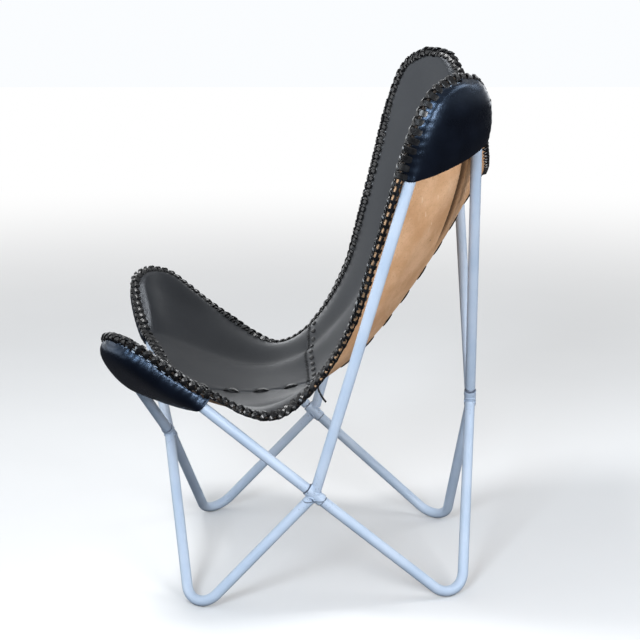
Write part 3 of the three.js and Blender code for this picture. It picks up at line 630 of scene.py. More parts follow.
# Near-black cut edge, for the seat panels' rim and the back's rim past the rear pocket mouth
dark_edge = raw_edge("dark_leather_edge", colour(0.012, 0.010, 0.009), colour(0.06, 0.045, 0.035))
pocket_finish, lace_finish = glossy_leather(), black_lace()


# Geometry node trees


def tree_of(name, inputs):
    """An empty geometry tree with named inputs, and its graph and input wires."""
    tree = bpy.data.node_groups.new(name, "GeometryNodeTree")
    tree.interface.new_socket("Geometry", in_out="INPUT", socket_type="NodeSocketGeometry")
    for label, kind in inputs.items():
        tree.interface.new_socket(label, in_out="INPUT", socket_type="NodeSocket" + kind)
    tree.interface.new_socket("Geometry", in_out="OUTPUT", socket_type="NodeSocketGeometry")
    graph = Graph(tree)
    source = tree.nodes.new("NodeGroupInput")
    return tree, graph, {s.name: Wire(graph, s) for s in source.outputs if s.name}


def close_tree(graph, made, material):
    """Realizes what a tree made and gives it its material."""
    made = graph.node("GeometryNodeRealizeInstances", None, {"Geometry": made})
    made = graph.node("GeometryNodeSetMaterial", None, {"Geometry": made, "Material": material})
    sink = graph.tree.nodes.new("NodeGroupOutput")
    graph.tree.links.new(made.socket, sink.inputs[0])


def tube_tree():
    """A round tube along a line."""
    tree, g, give = tree_of("bent_tube", {"Tube Radius": "Float", "Sides": "Int", "Finish": "Material"})
    line = g.node("GeometryNodeMeshToCurve", None, {"Mesh": give["Geometry"]})
    round_section = {"Resolution": give["Sides"], "Radius": give["Tube Radius"]}
    ring = g.node("GeometryNodeCurvePrimitiveCircle", None, round_section)
    swept = {"Curve": line, "Profile Curve": ring, "Fill Caps": True}
    tube = g.node("GeometryNodeCurveToMesh", None, swept)
    close_tree(g, g.node("GeometryNodeSetShadeSmooth", None, {0: tube}), give["Finish"])
    return tree


def stitch_tree():
    """Stitches set along a line at an even pitch, turned to the leather's edge and side."""
    tree, g, give = tree_of("laced_stitches", {
        "Stitch": "Object", "Rear Stitch": "Object", "Front Stitch": "Object", "Pitch": "Float",
        "Wander": "Float", "Seed": "Int", "Finish": "Material",
    })

    def stored(key, kind="FLOAT_VECTOR"):
        return g.node("GeometryNodeInputNamedAttribute", {"data_type": kind}, {"Name": key})

    line = g.node("GeometryNodeMeshToCurve", None, {"Mesh": give["Geometry"]})
    even = {"Curve": line, "Length": give["Pitch"]}
    spots = g.node("GeometryNodeResampleCurve", {"mode": "LENGTH"}, even)
    turn = g.node("FunctionNodeAlignRotationToVector", {"axis": "Y"}, {"Vector": stored("outward")})
    turn = g.node(
        "FunctionNodeAlignRotationToVector", {"axis": "Z", "pivot_axis": "Y"},
        {"Rotation": turn, "Vector": stored("sitter")},
    )
    sway = g.node(
        "FunctionNodeRandomValue", {"data_type": "FLOAT"},
        {2: give["Wander"] * -1, 3: give["Wander"], "Seed": give["Seed"]}, out=1,
    )
    lean = g.node("FunctionNodeAxisAngleToRotation", None, {"Axis": (0, 0, 1), "Angle": sway})
    turn = g.node(
        "FunctionNodeRotateRotation", {"rotation_space": "LOCAL"}, {"Rotation": turn, "Rotate By": lean}
    )
    size = g.node(
        "FunctionNodeRandomValue", {"data_type": "FLOAT_VECTOR"},
        {0: (0.92, 0.95, 0.93), 1: (1.08, 1.05, 1.1), "Seed": give["Seed"] + 7},
    )
    on_pocket = stored("pocket", "FLOAT")
    rows = tree.nodes.new("GeometryNodeJoinGeometry")
    for kind, label in enumerate(("Stitch", "Rear Stitch", "Front Stitch")):
        shape = g.node("GeometryNodeObjectInfo", None, {"Object": give[label]}, out=4)
        apart = (on_pocket - kind).size()
        chosen = g.node("FunctionNodeCompare", {"operation": "LESS_THAN"}, {0: apart, 1: 0.5})
        row = g.node(
            "GeometryNodeInstanceOnPoints", None,
            {"Points": spots, "Selection": chosen, "Instance": shape, "Rotation": turn, "Scale": size},
        )
        tree.links.new(row.socket, rows.inputs[0])
    close_tree(g, Wire(g, rows.outputs[0]), give["Finish"])
    return tree


def grow(name, start, tree, values):
    """Runs a tree on a starting mesh and keeps the result as a plain piece."""
    holder = new_object(name + "_line", start)
    modifier = holder.modifiers.new("grow", "NODES")
    modifier.node_group = tree
    for item in tree.interface.items_tree:
        if item.in_out == "INPUT" and item.name in values:
            modifier[item.identifier] = values[item.name]
    shown = holder.evaluated_get(bpy.context.evaluated_depsgraph_get())
    mesh = bpy.data.meshes.new_from_object(shown)
    bpy.data.objects.remove(holder)
    return new_object(name, mesh)


def store(mesh, key, values):
    """Keeps a number or a vector for each point of a mesh."""
    single = values.ndim == 1
    kept = mesh.attributes.new(key, "FLOAT" if single else "FLOAT_VECTOR", "POINT")
    kept.data.foreach_set("value" if single else "vector", np.asarray(values, np.float32).ravel())


def line_mesh(name, points, edges=None, **vectors):
    """A polyline, or several, with vectors stored at the points."""
    mesh = bpy.data.meshes.new(name)
    edges = edges or [(i, i + 1) for i in range(len(points) - 1)]
    mesh.from_pydata([tuple(p) for p in points + ORIGIN_SHIFT], edges, [])
    for key, values in vectors.items():
        store(mesh, key, values)
    return mesh


bent_tube, laced_stitches = tube_tree(), stitch_tree()


# Frame: tubes, sleeves, pins and welds


def round_bar(name, path, radius, finish):
    """A round bar along a path, with crisp ends."""
    sizes = {"Tube Radius": radius, "Sides": TUBE_SIDES, "Finish": finish}
    return sharpened(grow(name, line_mesh(name, path), bent_tube, sizes), TUBE_SHARP)


def flip_of(side):
    """Left pieces as they are drawn, right pieces mirrored."""
    return MIRROR if side < 0 else np.ones(3)


def saddle(axis_at, axis, run, sleeve_r, tube_r):
    """The line where a run of tube meets the side of a sleeve."""
    a = unit(np.cross(run, axis))
    b = np.cross(run, a)
    ring = []
    for t in np.linspace(0, 2 * math.pi, SADDLE_POINTS, endpoint=False):
        start = axis_at + (a * math.cos(t) + b * math.sin(t)) * tube_r
        way, from_axis = run - axis * np.dot(run, axis), start - axis_at
        from_axis = from_axis - axis * np.dot(from_axis, axis)
        p, q, r = np.dot(way, way), 2 * np.dot(way, from_axis), np.dot(from_axis, from_axis) - sleeve_r**2
        ring.append(start + run * (-q + math.sqrt(max(q * q - 4 * p * r, 0))) / (2 * p))
    return np.array(ring)


def lathe(name, at, axis, profile):
    """A turned piece from (radius, height) pairs along an axis."""
    side = unit(np.cross(axis, ASIDE))
    other = np.cross(axis, side)
    points, faces, count = [], [], len(profile)
    for i in range(SLEEVE_SIDES):
        t = 2 * math.pi * i / SLEEVE_SIDES
        out = side * math.cos(t) + other * math.sin(t)
        points += [at + ORIGIN_SHIFT + out * r + axis * h for r, h in profile]
        j = (i + 1) % SLEEVE_SIDES
        for k in range(count):
            m = (k + 1) % count
            faces.append((i * count + k, j * count + k, j * count + m, i * count + m))
    return sharpened(new_object(name, mesh_of(name, points, faces)), SLEEVE_SHARP)


def sleeve_profile():
    """Half section of a sleeve: bore, rounded rims, and a shallow waist where the welds are dressed."""
    top, bore = SLEEVE_L / 2, PIN_R + PIN_PLAY
    outside, rim = [], []
    for h in np.linspace(-1, 1, WAIST_STEPS):
        outside.append((SLEEVE_R - SLEEVE_WAIST * (1 - h * h), h * (top - SLEEVE_EDGE)))
    for t in RIM_ANGLES:
        rim.append((SLEEVE_R - SLEEVE_EDGE * (1 - math.sin(t)), top - SLEEVE_EDGE * (1 - math.cos(t))))
    low = [(r, -h) for r, h in reversed(rim)]
    return [(bore, -top), *low, *outside, *rim, (bore, top)]


for name, (k, side, end_a, end_b) in bows.items():
    flip = flip_of(side)
    a = run_end(*end_a, k.to_a * flip * -1) * flip
    b = run_end(*end_b, k.to_b * flip * -1) * flip
    path = k.path(a, b) * flip
    tube = round_bar(name + "_tube", path, TUBE_R, pale_blue_paint)
    settle(tube, [name + "_bow"], "frame_paint", pale_blue_paint)

for side, (at, axis, neck) in crossings.items():
    sleeve = lathe(side + "_sleeve", at, axis, sleeve_profile())
    settle(sleeve, [side + "_cross_sleeve"], "frame_paint", pale_blue_paint)
    pin_foot, pin_head = SLEEVE_L / 2 - PIN_IN, SLEEVE_L / 2 + neck + PIN_IN
    pin_line = np.linspace(at + axis * pin_foot, at + axis * pin_head, PIN_STEPS)
    pin = round_bar(side + "_pin", pin_line, PIN_R, pin_steel)
    settle(pin, [side + "_cross_pin"], "pin_steel", pin_steel)

for side, (at, axis, _) in crossings.items():
    rings = []
    for k, bow_side, *ends in bows.values():
        for (cross, joint), run in zip(ends, (k.to_a, k.to_b)):
            if (cross, joint) == (side, "cope"):
                rings.append(saddle(at, axis, -run * flip_of(bow_side), SLEEVE_R, TUBE_R + BEAD_OUT))
    count = len(rings[0])
    edges = [(r * count + i, r * count + (i + 1) % count) for r in range(len(rings)) for i in range(count)]
    beads = grow(
        f"{side}_weld_beads", line_mesh(f"{side}_weld_beads", np.concatenate(rings), edges), bent_tube,
        {"Tube Radius": BEAD_R, "Sides": BEAD_SIDES, "Finish": pale_blue_paint},
    )
    settle(beads, [], "frame_paint", pale_blue_paint)


# Photograph's view

camera_data = bpy.data.cameras.new("camera")
camera_data.lens, camera_data.sensor_width, camera_data.sensor_fit = LENS, SENSOR, "HORIZONTAL"
camera = new_object("camera", camera_data)
rise, around = math.radians(VIEW_UP), math.radians(VIEW_ROUND)
back = Vector((math.sin(around) * math.cos(rise), -math.cos(around) * math.cos(rise), math.sin(rise)))
camera.location = Vector((0, ORIGIN_SHIFT[1], VIEW_Z)) + back * VIEW_FROM
camera.rotation_mode = "QUATERNION"
camera.rotation_quaternion = (-back).to_track_quat("-Z", "Y")
bpy.context.scene.camera = camera
bpy.context.scene.view_settings.view_transform = "Standard"


# Leather sheets


def boundary(faces):
    """The open edge of a set of faces, in order round the rim."""
    sides = {(f[i], f[(i + 1) % len(f)]) for f in faces for i in range(len(f))}
    after = {a: b for a, b in sides if (b, a) not in sides}
    ring = [min(after)]
    while after[ring[-1]] != ring[0]:
        ring.append(after[ring[-1]])
    return np.array(ring)


def point_normals(points, faces):
    """Normals at the points of a mesh of four-sided faces."""
    quads = np.array(faces)
    corners = points[quads]
    facing = np.cross(corners[:, 2] - corners[:, 0], corners[:, 3] - corners[:, 1])
    total = np.zeros_like(points)
    for c in range(4):
        np.add.at(total, quads[:, c], facing)
    return unit(total)


# Rim of a sheet: how high and how far out its lines lie, in thicknesses
RIM_SECTION = ((0.36, 0.22), (0, 0.32), (-0.36, 0.22))


def closed_sheet(name, mid, normal, faces, thickness, finishes, flip, sewn=(), dark_rim=()):
    """Leather with a rounded rim. Finishes: the side the faces look to, the other side, cut edge, dark cut
    edge.

    The rim between two sewn points takes the first finish, between two points of the dark rim the last.
    """
    quads, count = np.array(faces), len(mid)
    ring = boundary(faces)
    lean = np.zeros_like(mid)
    for c in range(4):
        np.add.at(lean, quads[:, c], mid[quads[:, c]] - mid[quads].mean(axis=1))
    edge, n = mid[ring], normal[ring]
    out = unit(lean[ring] - n * dot(lean[ring], n))
    sides = [mid + normal * thickness / 2, mid - normal * thickness / 2]
    rims = [edge + n * thickness * h + out * thickness * w for h, w in RIM_SECTION]
    points = np.concatenate(sides + rims) + ORIGIN_SHIFT
    all_faces = [tuple(q) for q in quads] + [tuple(q[::-1] + count) for q in quads]
    slots = [0] * len(quads) + [1] * len(quads)
    size = len(ring)
    levels = [ring]
    levels += [2 * count + r * size + np.arange(size) for r in range(len(RIM_SECTION))]
    levels += [ring + count]
    pairs = list(zip(ring, np.roll(ring, -1)))
    for high, low in zip(levels, levels[1:]):
        all_faces += list(zip(np.roll(high, -1), high, low, np.roll(low, -1)))
        slots += [0 if a in sewn and b in sewn else 3 if a in dark_rim and b in dark_rim else 2 for a, b in pairs]
    if flip:
        points = points * MIRROR
        all_faces = [f[::-1] for f in all_faces]
    mesh = mesh_of(name, points, all_faces)
    for finish in finishes:
        mesh.materials.append(finish)
    mesh.polygons.foreach_set("material_index", slots)
    return new_object(name, mesh)


def grid_faces(ids):
    """Four-sided faces over a grid of point numbers."""
    return [
        (ids[j, i], ids[j, i + 1], ids[j + 1, i + 1], ids[j + 1, i])
        for j in range(ids.shape[0] - 1) for i in range(ids.shape[1] - 1)
    ]


def area_of(p):
    """Area of a sheet given as a grid of points."""
    a, b = p[1:, :-1] - p[:-1, :-1], p[:-1, 1:] - p[:-1, :-1]
    return float(np.linalg.norm(np.cross(a, b), axis=-1).sum())


def length_along(p, axis):
    """Length of the longest row, axis 1, or column, axis 0, of a grid of points."""
    return float(np.linalg.norm(np.diff(p, axis=axis), axis=-1).sum(axis=axis).max())


# Sling panels


def smooth(x, low, high):
    """0 below low, 1 above high, smooth between."""
    x = np.clip((x - low) / (high - low), 0, 1)
    return x * x * (3 - 2 * x)


# Ridge over each tip: its reach down the runs, the fall beyond it, its height, place and width
TIP_RIDGES = (
    (front_tip, 0.25, 8 * MM, FRONT_RIDGE, -3 * MM, 13 * MM),
    (rear_tip, 0.36, 7 * MM, REAR_RIDGE, 0, 17 * MM),
)


def rolled(p):
    """Leather drawn over the tube at the tips: a ridge along the tube, the edge beyond it turned down."""
    for k, reach, fall, high, crest, wide in TIP_RIDGES:
        _, off, down = off_tube(p, k)
        held = smooth(reach - down, 0, RIDGE_FADE)
        spread = np.where(off < crest, RIDGE_INNER * wide, wide)
        near_side = smooth(dot(p - k.centre, k.across), *RIDGE_SIDE)
        ridge = high * np.exp(-(((off - crest) / spread) ** 2)) * (1 - RIDGE_SIDE_LOSS * near_side)
        turned = smooth(off - crest, *EDGE_TURN) * (1 - EDGE_EASE_SHARE * smooth(off, *EDGE_EASE))
        p = p + k.sitter * held * (ridge - fall * turned)
    return p


def eased(p):
    """Sheet points with creases evened out along the normals, the edges held and the tube kept clear."""
    for _ in range(SHEET_EASE):
        n = normals(p)[1:-1, 1:-1]
        mean = (p[:-2, 1:-1] + p[2:, 1:-1] + p[1:-1, :-2] + p[1:-1, 2:]) / 4
        inner = p[1:-1, 1:-1] + n * dot(mean - p[1:-1, 1:-1], n) * EASE_SHARE
        p = p.copy()
        p[1:-1, 1:-1] = inner
    for k in (front_tip, rear_tip):
        height, off, _ = off_tube(p, k)
        need = np.sqrt(np.maximum((TUBE_R + SHEET_T / 2 + TUBE_CLEAR) ** 2 - off**2, 0))
        p = p + k.sitter * np.maximum(need - height, 0) * (need > 0)
    return p


def fold_line(across, v, inner=FOLD_W, outer=FOLD_W):
    """Share of the slanting fold beside the back seam: 1 along its bottom, 0 away from it."""
    middle = FOLD_LOW + FOLD_SLANT * (v - FOLD_LOW_V)
    held = smooth(v, *FOLD_STARTS) * (1 - smooth(v, *FOLD_ENDS))
    return np.exp(-(((across - middle) / np.where(across > middle, outer, inner)) ** 2)) * held


def hang(u, v, folded):
    """The leather as it hangs: seams drawn in and puckered, a slight swell, and a fold if it is folded."""
    p = rolled(eased(sling(u, v)))
    n = normals(p)
    across = np.abs(p[..., 0])
    run = run_length(p[:, 0])[:, None]
    lift = -SEAM_SINK * np.exp(-((across / SEAM_LIP) ** 2))
    beside_seam = np.exp(-(((across - 2 * SEAM_LIP) / (1.6 * SEAM_LIP)) ** 2))
    lift += PUCKER * np.cos(2 * math.pi * run / SEAM_PITCH) * beside_seam
    if folded:
        lift += FOLD * fold_line(across, v)
    lift += SWELL * np.sin(9.1 * v + 4.3 * u) * np.sin(7.7 * u - 2.9 * v + 0.8) * np.sin(math.pi * u) ** 2
    return p + n * lift[..., None]


SEAM_COLUMNS = (0, 0.004, 0.008, 0.013, 0.019)
PANEL_COLUMNS = np.concatenate([SEAM_COLUMNS, 1 - (1 - np.linspace(0, 1, 71)[2:]) ** 1.25])
PANEL_SPANS = {
    "seat": ((0, 0.03, 14), (0.03, FRONT_RUN_V, 18), (FRONT_RUN_V, SEAM_V, 64)),
    "back": ((SEAM_V, REAR_RUN_V, 84), (REAR_RUN_V, 0.975, 18), (0.975, 1, 14)),
}


def panel_rows(part):
    """Rows of a panel from front to back, closest at the tips."""
    first, second, third = (np.linspace(*span) for span in PANEL_SPANS[part])
    return np.concatenate([first[:-1], second[:-1], third])


def painted_shade_of(part, mid):
    """Share of painted shade on the tan side: round the seat's rim, or in the back's fold."""
    if part == "seat":
        return np.broadcast_to(smooth(PANEL_COLUMNS, *RIM_SHADE), mid.shape[:2]).ravel()
    return fold_line(np.abs(mid[..., 0]), panel_rows(part)[:, None], FOLD_SHADE_IN, FOLD_SHADE_OUT).ravel()


def panel_grid(part, side):
    """Middle of a panel and its sitter-side normals, drawn on the left for both sides."""
    u, v = np.meshgrid(PANEL_COLUMNS, panel_rows(part))
    p = hang(u, v, part == "back" and side == "left")
    p[:, 0, 0] = SEAM_GAP / 2
    seam = -1 if part == "seat" else 0
    step = p[-2] - p[-1] if part == "seat" else p[1] - p[0]
    p[seam] += unit(step) * SEAM_GAP / 2
    n = normals(p)
    n[:, 0, 0] = 0
    return p, unit(n)


for part in ("seat", "back"):
    for side in ("left", "right"):
        mid, normal = panel_grid(part, side)
        ids = np.arange(mid[..., 0].size).reshape(mid.shape[:2])
        sewn = set(ids[:, 0]) | set(ids[-1 if part == "seat" else 0])
        # The seat's whole rim, and the back's rim past the rear pocket mouth, take the near-black cut edge
        dark_rim = set(ids.ravel()) if part == "seat" else set(ids[panel_rows(part) > REAR_MOUTH_V].ravel())
        made = closed_sheet(
            f"{part}_{side}_leather", mid.reshape(-1, 3), normal.reshape(-1, 3), grid_faces(ids), SHEET_T,
            (black_side, tan_side, cut_edge, dark_edge), side == "right", sewn, dark_rim,
        )
        if part == "seat" or side == "left":
            # Painted shade on the tan side, kept at the points: along the back's fold and round the seat's
            # rim
            shade_share = painted_shade_of(part, mid)
            rim = np.zeros(len(made.data.vertices) - 2 * shade_share.size)
            store(made.data, "painted_shade", np.concatenate([shade_share, shade_share, rim]))
        settle(made, [f"{part}_{side}_panel"], "sling_leather")
        length_along(mid, 1)
        length_along(mid, 0)
        area_of(mid)


# Corner pockets


def puckered(p):
    """Pocket rows set closer, with the leather drawn in between the stitches along both hems."""
    rows, count = p.shape[:2]
    fine = through([(i, row.ravel()) for i, row in enumerate(p)])
    p = fine(np.linspace(0, rows - 1, PUCKER_ROWS * (rows - 1) + 1)).reshape(-1, count, 3)
    n = normals(p)
    for hem, way in ((0, 1), (count - 1, -1)):
        run = run_length(p[:, hem])
        steps = np.linalg.norm(np.diff(p[:, ::way], axis=1), axis=-1)
        inward = np.concatenate([np.zeros((len(p), 1)), np.cumsum(steps, axis=1)], axis=1)[:, ::way]
        wave = np.cos(2 * math.pi * run / STITCH_PITCH)[:, None] * np.exp(-((inward / HEM_REACH) ** 2))
        p = p + n * (HEM_PUCKER * wave)[..., None]
    return p


def pocket_grid(k, edge_a, edge_b, mouth_bow, depth, spread, flare, square):
    """A dome hung from its hem round a bent tip, each row crossing it from hem to hem."""
    share = np.linspace(0, 1, TIP_ROWS)
    tip_share = POCKET_START + (1 - POCKET_START) * (0.45 * share + 0.55 * share**2)
    bend_share = np.concatenate([tip_share, np.ones(RUN_ROWS - 1)])
    run_share = np.concatenate([np.zeros(TIP_ROWS), np.linspace(0, 1, RUN_ROWS)[1:]])
    hems = []
    for side, edge in ((1, edge_a), (-1, edge_b)):
        angle = side * k.sweep * bend_share
        out = -k.into * np.cos(angle)[:, None] + k.across * np.sin(angle)[:, None]
        hems.append(rolled(edge(bend_share, run_share)) - out * HEM_IN - k.sitter * UNDER_HEM)
    across = (1 - np.cos(np.linspace(0, math.pi, POCKET_COLUMNS))) / 2
    p = hems[0][:, None] + (hems[1] - hems[0])[:, None] * across[None, :, None]
    ring = np.concatenate([hems[0][::-1], hems[1]])
    run = run_length(ring)
    ring = sampled(ring, run, np.linspace(0, run[-1], HEM_POINTS))
    flat_ring, flat_rows = (q - k.sitter * dot(q, k.sitter) for q in (ring, p))
    inward = np.array([[np.linalg.norm(flat_ring - q, axis=-1).min() for q in row] for row in flat_rows])
    filled = np.clip(inward / (spread * (1 + flare * across)), 0, 1)
    dome = (1 - (1 - filled) ** square) ** (1 / square)
    p = p - k.sitter * (depth * dome)[..., None]
    bowed = np.sin(math.pi * across)[None, :] * run_share[:, None] ** 1.5
    p = p + k.into * mouth_bow * bowed[..., None]
    wrap_least = TUBE_R + POCKET_T / 2 + POCKET_CLEAR
    for step in range(POCKET_EASE):
        p[:, 1:-1] = p[:, 1:-1] * 0.5 + (p[:, :-2] + p[:, 2:]) * 0.25
        p[1:-1, 1:-1] = p[1:-1, 1:-1] * 0.5 + (p[:-2, 1:-1] + p[2:, 1:-1]) * 0.25
        if step < POCKET_EASE - 2:
            height, off, _ = off_tube(p, k)
            under = np.sqrt(np.maximum(wrap_least**2 - off**2, 0))
            p = p - k.sitter * np.maximum(height + under, 0) * (under > 0)
    return puckered(p)


def pocket(name, k, p):
    """The two pockets over a pair of tips, from the grid of the left one."""
    ids = np.arange(p[..., 0].size).reshape(p.shape[:2])
    points, faces = p.reshape(-1, 3), grid_faces(ids)
    normal = point_normals(points, faces)
    if np.dot(normal[ids[len(p) // 2, POCKET_COLUMNS // 2]], k.sitter) > 0:
        faces, normal = [f[::-1] for f in faces], -normal
    for side in ("left", "right"):
        made = closed_sheet(
            f"{name}_{side}_pocket_leather", points, normal, faces, POCKET_T, (pocket_finish,) * 4,
            side == "right",
        )
        settle(made, [f"{name}_{side}_pocket"], "pocket_leather")
        length_along(p, 1)
        length_along(p, 0)
        area_of(p)


front_pocket = pocket_grid(
    front_tip,
    lambda bend, run: side_edge(FRONT_RUN_V * bend + (FRONT_MOUTH_V - FRONT_RUN_V) * run),
    lambda bend, run: front_edge(1 - (1 - RUN_U) * bend - (RUN_U - MOUTH_U) * run),
    mouth_bow=10 * MM, depth=30 * MM, spread=38 * MM, flare=0.7, square=2.9,
)
rear_pocket = pocket_grid(
    rear_tip,
    lambda bend, run: side_edge(1 - (1 - REAR_RUN_V) * bend - (REAR_RUN_V - REAR_MOUTH_V) * run),
    lambda bend, run: top_edge(1 - (1 - RUN_U) * bend - (RUN_U - MOUTH_U) * run),
    mouth_bow=4 * MM, depth=26 * MM, spread=56 * MM, flare=1.1, square=2.3,
)
pocket("front", front_tip, front_pocket)
pocket("rear", rear_tip, rear_pocket)


# Lacing


def strap(path, width, thickness):
    """Points and faces of a flat thong along a path of places, the way its flat looks, and width shares."""
    places = np.array([p[0] for p in path], float) * MM
    looks = unit(np.array([p[1] for p in path], float))
    shares = np.array([p[2] if len(p) > 2 else 1.0 for p in path])
    along = unit(np.gradient(places, axis=0))
    wide = unit(np.cross(looks, along))
    looks = np.cross(along, wide)
    section = [(0.5, 0), (0.4, 0.5), (-0.4, 0.5), (-0.5, 0), (-0.4, -0.5), (0.4, -0.5)]
    points = [
        places[i] + wide[i] * width * shares[i] * a + looks[i] * thickness * (0.4 + 0.6 * shares[i]) * b
        for i in range(len(places)) for a, b in section
    ]
    size, last = len(section), len(places) - 1
    faces = [
        (i * size + j, i * size + (j + 1) % size, (i + 1) * size + (j + 1) % size, (i + 1) * size + j)
        for i in range(last) for j in range(size)
    ]
    faces += [tuple(range(size))[::-1], tuple(last * size + j for j in range(size))]
    return points, faces


def join(*shapes):
    """Several shapes, each of points and faces, as one."""
    points, faces = [], []
    for more_points, more_faces in shapes:
        faces += [tuple(i + len(points) for i in f) for f in more_faces]
        points += list(more_points)
    return points, faces


UP, OUT, DOWN = (0, 0, 1), (0, 1, 0), (0, 0, -1)

# Legs of the edge stitch in millimetres: along the edge, out past it, towards the sitter
RETURN_LEG = [
    ((4.2, -13.2, 0.8), (0, -0.5, 1), 0.7), ((4.8, -10.6, 3.0), UP), ((6.0, -5.6, 3.6), UP),
    ((7.0, -1.6, 3.2), (0, 0.4, 1), 0.7),
]
INNER_LEG = [
    ((-3.4, -13.6, 0.6), (0, -0.6, 1), 0.7), ((-2.6, -11.4, 4.2), (0, -0.3, 1), 1.0),
    ((-0.6, -7.2, 5.6), UP, 1.0), ((1.6, -2.4, 4.0), (0, 0.4, 1), 0.9),
]
EDGE_PLAIT = [
    ((-8.6, -3.4, 2.6), (0, -0.2, 1), 0.7), ((-4.6, -1.0, 5.6), (0, 0.2, 1)), ((0, 1.4, 6.2), (0, 0.5, 1)),
    ((4.6, 3.8, 4.6), (0, 0.9, 0.8)), ((8.6, 4.6, 1.0), (0, 1, 0.2), 0.7),
]
FREE_LEG = [
    ((1.8, 3.0, 2.6), (0, 1, 0.6), 0.8), ((2.0, 3.8, -1.0), (0, 1, -0.3), 0.75),
    ((2.6, 1.2, -4.6), (0, 0.5, -1), 0.9), ((4.0, -5.0, -5.2), DOWN),
    ((5.0, -9.0, -1.6), (0, -0.5, -1), 0.7),
]
SIDE_POCKET_LEG = [
    ((1.8, 3.4, 2.4), (0, 1, 0.5)), ((1.8, 4.0, -2.0), OUT), ((1.4, 2.6, -7.0), OUT),
    ((1.0, 1.2, -12.0), OUT), ((0.6, -1.4, -15.5), OUT, 0.7),
]
SIDE_TIP_LEG = [
    ((1.8, 3.2, 2.4), (0, 1, 0.5)), ((1.8, 3.6, -1.6), OUT), ((1.5, 2.6, -4.6), OUT),
    ((1.2, 0.8, -7.6), OUT, 0.8), ((0.8, -1.4, -9.6), OUT, 0.6),
]
LIP_POCKET_LEG = [
    ((1.8, 3.4, 2.4), (0, 1, 0.5)), ((1.8, 3.8, -2.0), OUT), ((1.4, 0.8, -5.8), (0, 0.6, -1)),
    ((1.0, -4.0, -7.8), DOWN), ((0.8, -8.6, -9.0), DOWN), ((0.6, -11.5, -7.0), (0, -0.4, -1), 0.7),
]
OUTSIDE_RUN = [((-8.0, -1.2, -4.0), DOWN), ((0, 0, -4.4), DOWN), ((8.0, -1.2, -4.0), DOWN)]


def edge_stitch(outer_leg, width):
    """One pitch of the edge lacing: thong over the edge, its return, plait along the edge, run outside."""
    inner = [(place, look, share * LACE_W / width) for place, look, share in INNER_LEG]
    over = strap(inner + outer_leg, width, LACE_T)
    plait = strap(EDGE_PLAIT, PLAIT_W, PLAIT_T)
    back_leg = strap(RETURN_LEG, RETURN_W, RETURN_T)
    return join(over, plait, back_leg, strap(OUTSIDE_RUN, OUTSIDE_W, OUTSIDE_T))


def dash(length, width, height, thickness=SEAM_T):
    """One raised stitch of a seam, its height over the leather in millimetres."""
    half = length / MM / 2
    high = SHEET_T / MM / 2
    return strap([
        ((-half, 0, high + height * 0.1), UP, 0.3), ((-half * 0.78, 0, high + height * 0.55), UP, 0.72),
        ((-half * 0.3, 0, high + height), UP), ((half * 0.3, 0, high + height), UP),
        ((half * 0.78, 0, high + height * 0.55), UP, 0.72), ((half, 0, high + height * 0.1), UP, 0.3),
    ], width, thickness)


def trimmed(points, vectors, cut):
    """A line shortened by the same length at both ends."""
    run = run_length(points)
    at = np.linspace(cut, run[-1] - cut, len(points))
    return sampled(points, run, at), [sampled(v, run, at) for v in vectors]


def stitched(name, shapes, lines, pitch, wander, seed):
    """Rows of stitches set along lines of (points, outward, sitter's side, which stitch)."""
    models = [new_object(f"{name}_stitch", mesh_of(f"{name}_stitch", *shape)) for shape in shapes]
    starts = np.cumsum([0] + [len(line[0]) for line in lines])
    edges = [(s + i, s + i + 1) for s, line in zip(starts, lines) for i in range(len(line[0]) - 1)]
    points, outward, sitter, on_pocket = (np.concatenate(part) for part in zip(*lines))
    mesh = line_mesh(name, points, edges, outward=outward, sitter=sitter, pocket=on_pocket)
    made = grow(name, mesh, laced_stitches, {
        "Stitch": models[0], "Rear Stitch": models[len(models) // 2], "Front Stitch": models[-1],
        "Pitch": pitch, "Wander": wander, "Seed": seed, "Finish": lace_finish,
    })
    for model in models:
        bpy.data.objects.remove(model)
    return sharpened(made, LACE_SHARP)


def edge_line(edge, inner, normal, on_pocket):
    """Line, outward way, sitter's side and stitch along an edge of the sling."""
    along = unit(np.gradient(edge, axis=0))
    out = np.cross(along, normal)
    out = unit(out * np.sign(dot(out, edge - inner)))
    share = np.repeat(on_pocket.astype(float)[:, None], 3, axis=1)
    line, (out, look, share) = trimmed(edge, (out, normal, share), STITCH_PITCH / 2)
    return line, out, look, share[:, 0]


def both_sides(row):
    """A row of the left half, carried on over the middle to the right edge."""
    return np.concatenate([(row * MIRROR)[:0:-1], row])


def up_side(seat, back, column):
    """One column of the sling, from the front lip to the top."""
    return np.concatenate([seat[:-1, column], back[:, column]])


seat_mid, seat_look = panel_grid("seat", "right")
back_mid, back_look = panel_grid("back", "right")
side_rows = np.concatenate([panel_rows("seat")[:-1], panel_rows("back")])
on_side_pocket = np.where(side_rows < FRONT_MOUTH_V, 2, side_rows > REAR_MOUTH_V)
on_lip_pocket = np.abs(np.concatenate([-PANEL_COLUMNS[:0:-1], PANEL_COLUMNS])) > MOUTH_U
left_line = edge_line(
    up_side(seat_mid, back_mid, -1), up_side(seat_mid, back_mid, -2), up_side(seat_look, back_look, -1),
    on_side_pocket,
)
right_line = tuple(part * MIRROR for part in left_line[:3]) + left_line[3:]
front_rows = (both_sides(row) for row in (seat_mid[0], seat_mid[1], seat_look[0]))
top_rows = (both_sides(row) for row in (back_mid[-1], back_mid[-2], back_look[-1]))
front_line, top_line = edge_line(*front_rows, on_lip_pocket), edge_line(*top_rows, on_lip_pocket)
free_stitch = edge_stitch(FREE_LEG, LACE_W)
rear_stitch = edge_stitch(SIDE_POCKET_LEG, POCKET_LACE_W)
front_stitch = edge_stitch(SIDE_TIP_LEG, TIP_LACE_W)
side_stitches = (free_stitch, rear_stitch, front_stitch)
